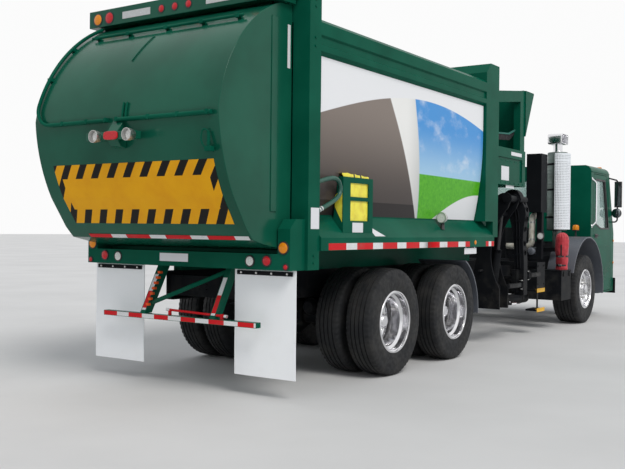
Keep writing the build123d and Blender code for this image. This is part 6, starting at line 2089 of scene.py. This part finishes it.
@dataclass
class ChassisGear:
    """Air tank, brake chambers, tank straps, cap, lid and step pads."""

    axles: tuple[float, float] = (0.0, 1.372)
    air_tank_place: tuple[float, float, float] = (3.180, -0.900, 0.500)
    air_tank_radius: float = 0.072
    brackets: tuple[float, float] = (3.450, 4.050)
    fuel_straps: tuple[float, float] = (3.400, 4.000)
    chamber_sides: tuple[float, float] = (0.36, -0.36)
    treads: tuple[float, float] = (0.600, 0.330)

    def build(self) -> None:
        """Build the frame's details."""
        self.air_tank()
        self.fuel_tank()
        self.battery_box()
        self.brakes()
        self.step_pads()

    def air_tank(self) -> None:
        """Long air tank beside the rail, with its brackets and drain valve."""
        tank, valve = Sculpt(), Sculpt()
        place, r = spot(*self.air_tank_place), self.air_tank_radius
        _, y, z = place
        tank.lathe([(0.0, 0.002), (0.008, 0.036), (0.026, 0.061), (0.050, r), (1.100, r), (1.124, 0.061),
                    (1.142, 0.036), (1.150, 0.002)], place, "x", 48, closed=False)
        for station in self.brackets:
            x, top = at(station), 0.800
            tank.band((x, y, z), "x", 0.018, r, r + 0.004, 48)
            tank.boxes(row(x - 0.018, y + 0.020, z + r - 0.002), row(x + 0.018, y + 0.050, top))
            tank.boxes(row(x - 0.018, y + 0.020, 0.770), row(x + 0.018, -0.4265, top))
        tank.finish("air_tank", "black", smooth_angle=50)
        valve.rods(spot(3.560, y - 0.066, z - 0.020), spot(3.560, y - 0.100, z - 0.040), 0.012, 12)
        valve.rods(spot(3.490, y - 0.108, z - 0.044), spot(3.650, y - 0.108, z - 0.046), 0.027, 24)
        valve.finish("air_valve", "chrome", smooth_angle=50)

    def fuel_tank(self) -> None:
        """Straps round the fuel tank and its filler cap."""
        straps, cap = Sculpt(), Sculpt()
        for station in self.fuel_straps:
            a, b = at(station) - 0.025, at(station) + 0.025
            straps.boxes(row(a, 1.1400, 0.476), row(b, 1.1435, 0.964))
            straps.boxes(row(a, 0.520, 0.9600), row(b, 1.1400, 0.9635))
            straps.boxes(row(a, 0.520, 0.4765), row(b, 1.1400, 0.4800))
        straps.finish("tank_straps", "zinc", bevel=0.001)
        profile = [(0.0, 0.002), (0.0, 0.050), (0.012, 0.052), (0.034, 0.048), (0.038, 0.040), (0.038, 0.002)]
        cap.lathe(profile, spot(3.700, 1.030, 0.9602), "z", 48)
        cap.finish("tank_cap", "chrome", smooth_angle=40)

    def battery_box(self) -> None:
        """Lid, its seam and two latches of the battery box."""
        lid = Sculpt()
        lid.boxes(spot(4.895, -1.229, 0.8605), spot(5.335, -0.960, 0.866))
        lid.boxes(spot(4.895, -1.2285, 0.815), spot(5.335, -1.2253, 0.8605))
        for x in (at(4.990), at(5.240)):
            lid.boxes(row(x - 0.012, -1.2375, 0.775), row(x + 0.012, -1.2285, 0.850))
        lid.finish("battery_lid", "black", bevel=0.002)

    def brakes(self) -> None:
        """Round brake chambers behind each rear axle."""
        chambers = Sculpt()
        profile = [(0.0, 0.002), (0.0, 0.055), (0.030, 0.078), (0.060, 0.080), (0.060, 0.088), (0.072, 0.088),
                   (0.072, 0.080), (0.110, 0.070), (0.125, 0.040), (0.125, 0.002)]
        for station in self.axles:
            for y in self.chamber_sides:
                chambers.lathe(profile, (at(station) - 0.300, y, 0.640), "x", 40)
        chambers.finish("brake_chambers", "black", smooth_angle=40)

    def step_pads(self) -> None:
        """Yellow pads round the outer ends of both treads, and the plate's bolts."""
        pads, bolts = Sculpt(), Sculpt()
        rear, front = 4.1005, 4.4095
        for z in self.treads:
            pads.boxes([spot(rear, -1.1530, z - 0.014), spot(rear, -1.1530, z + 0.0252)],
                       [spot(front, -1.1505, z + 0.040), spot(front, -1.125, z + 0.028)])
        pads.finish("step_pads", "yellow", bevel=0.001)
        spots = np.array([(at(x), -1.1501, z) for x in (4.140, 4.370) for z in (0.70, 0.95)])
        bolts.heads(spots, row(0, -0.008, 0), 0.011)
        bolts.finish("step_bolts", "black")


# Camera, light and floor


@dataclass
class Studio:
    """The photograph's camera, plain lights and a pale floor."""

    place: tuple[float, float, float] = (-10.152, -5.288, 1.423)
    yaw: float = 34.073
    pitch: float = 0.360
    roll: float = 0.6386
    lens: float = 50.256
    sky: Colour = (0.93, 0.96, 1.0)
    sky_strength: float = 0.62
    background: Colour = (0.97, 0.97, 0.97)
    sun_strength: float = 1.7
    sun_width: float = 25
    sun_turn: tuple[float, float, float] = (42, 0, -28)
    floor_reach: float = 120.0

    def build(self) -> None:
        """Make the camera, the world, the lamps and the floor."""
        self.camera()
        self.world()
        self.lamps()
        self.floor()

    def camera(self) -> None:
        """Camera from its place and three angles, in columns of right, up and back."""
        yaw, pitch, roll = (math.radians(v) for v in (self.yaw, self.pitch, self.roll))
        ahead = row(math.cos(yaw) * math.cos(pitch), math.sin(yaw) * math.cos(pitch), -math.sin(pitch))
        right = row(math.sin(yaw), -math.cos(yaw), 0)
        up = np.cross(right, ahead)
        turned_right = math.cos(roll) * right + math.sin(roll) * up
        turned_up = -math.sin(roll) * right + math.cos(roll) * up
        matrix = np.eye(4)
        matrix[:3] = np.stack([turned_right, turned_up, -ahead, self.place], -1)
        data = bpy.data.cameras.new("camera")
        data.lens = self.lens
        data.sensor_width = 36.0
        data.clip_end = 400.0
        camera = bpy.data.objects.new("camera", data)
        camera.matrix_world = Matrix(matrix.tolist())
        bpy.context.scene.collection.objects.link(camera)
        bpy.context.scene.camera = camera

    def world(self) -> None:
        """Even grey light, with white shown behind the truck, in its gloss and through its glass."""
        world = bpy.data.worlds.new("studio")
        world.use_nodes = True
        nodes, links = world.node_tree.nodes, world.node_tree.links
        nodes.clear()
        mix, ray = nodes.new("ShaderNodeMixShader"), nodes.new("ShaderNodeLightPath")
        share = ray.outputs["Is Camera Ray"]
        for name in ("Is Glossy Ray", "Is Transmission Ray"):
            most = nodes.new("ShaderNodeMath")
            most.operation = "MAXIMUM"
            links.new(share, most.inputs[0])
            links.new(ray.outputs[name], most.inputs[1])
            share = most.outputs[0]
        links.new(share, mix.inputs["Fac"])
        for place, colour, strength in ((1, self.sky, self.sky_strength), (2, self.background, 1.0)):
            light = nodes.new("ShaderNodeBackground")
            light.inputs["Color"].default_value = (*colour, 1)
            light.inputs["Strength"].default_value = strength
            links.new(light.outputs[0], mix.inputs[place])
        links.new(mix.outputs[0], nodes.new("ShaderNodeOutputWorld").inputs["Surface"])
        bpy.context.scene.world = world

    def lamps(self) -> None:
        """One broad soft sun from the right and above, behind the camera."""
        data = bpy.data.lights.new("sun", "SUN")
        data.energy = self.sun_strength
        data.angle = math.radians(self.sun_width)
        data.color = (1.0, 0.975, 0.94)
        sun = bpy.data.objects.new("sun", data)
        sun.rotation_euler = [math.radians(v) for v in self.sun_turn]
        bpy.context.scene.collection.objects.link(sun)

    def floor(self) -> None:
        """Pale matt floor that keeps the truck's shadow."""
        g = Graph("studio floor")
        drift = g.noise(0.4, 4)
        g.colour(g.blend(g.span(drift, 0.3, 0.7), (0.60, 0.60, 0.60), (0.66, 0.66, 0.66)))
        g.set(Roughness=0.9)
        r = self.floor_reach
        mesh = bpy.data.meshes.new("floor")
        corners = [(-r, -r, 0), (r, -r, 0), (r, r, 0), (-r, r, 0)]
        mesh.from_pydata(corners, [], [[0, 1, 2, 3]])
        mesh.materials.append(g.material)
        floor = bpy.data.objects.new("floor", mesh)
        bpy.context.scene.collection.objects.link(floor)


def dress_nodes() -> None:
    """Give every solid of the frame its finish, black if it is named nowhere."""
    groups = {
        "green": ("body_floor", "body_wall_right", "body_wall_left", "body_roof", "rear_frame", "bulkhead",
                  "hopper", "tailgate", "rear_bumper", "kit_holder", "cab_sides", "cab_roof",
                  "cab_front", "door_left", "door_right"),
        "black": ("frame_rails", "front_axle", "rear_axles", "engine", "knuckle_left", "knuckle_right",
                  "fuel_tank_and_battery_box", "air_cleaner", "front_bumper", "arm_carriage", "arm_boom",
                  "finger_rear", "finger_front", "access_steps"),
        "packer": ("packer",),
        "rubber": ("tyre_front_left", "tyre_front_right", "tyres_rear_left", "tyres_rear_right",
                   "tyres_middle_left", "tyres_middle_right"),
        "polished": ("rim_front_left", "rim_front_right", "rims_rear_left", "rims_rear_right",
                     "rims_middle_left", "rims_middle_right"),
        "flap": ("mudflaps",),
        "plastic": ("front_fenders", "quarter_fenders"),
        "trim": ("mirrors",),
        "interior": ("cab_interior", "cab_floor"),
        "can": ("exhaust",),
        "shield": ("heat_shield",),
        "bag": ("kit_bags",),
        "canvas": ("extinguisher",),
        "wrap": ("intake_pipe",),
        "green_hose": ("hose_loop",),
        "glass": ("cab_glass", "glass_left", "glass_right"),
        "red": ("lamps_red",),
        "amber": ("lamps_amber",),
        "clear": ("lamps_clear",),
    }
    named = {node: group for group, nodes in groups.items() for node in nodes}
    for node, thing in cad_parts.items():
        thing.data.materials.clear()
        thing.data.materials.append(look(named.get(node, "black")))


def main() -> None:
    """Build the truck's looks, one sub-assembly after another."""
    logging.basicConfig(level=logging.INFO, format="%(name)s %(message)s")
    bpy.context.scene.view_settings.view_transform = "Standard"
    Studio().build()
    soft = SoftGoods()
    soft.hose_loop()
    dress_nodes()
    Wheels().build()
    parts = (LoadBody(), Tailgate(), RearEnd(), soft, Stack(), CabTrim(), Arm(), HopperTrim(), ChassisGear())
    for part in parts:
        part.build()


if __name__ == "__main__":
    main()
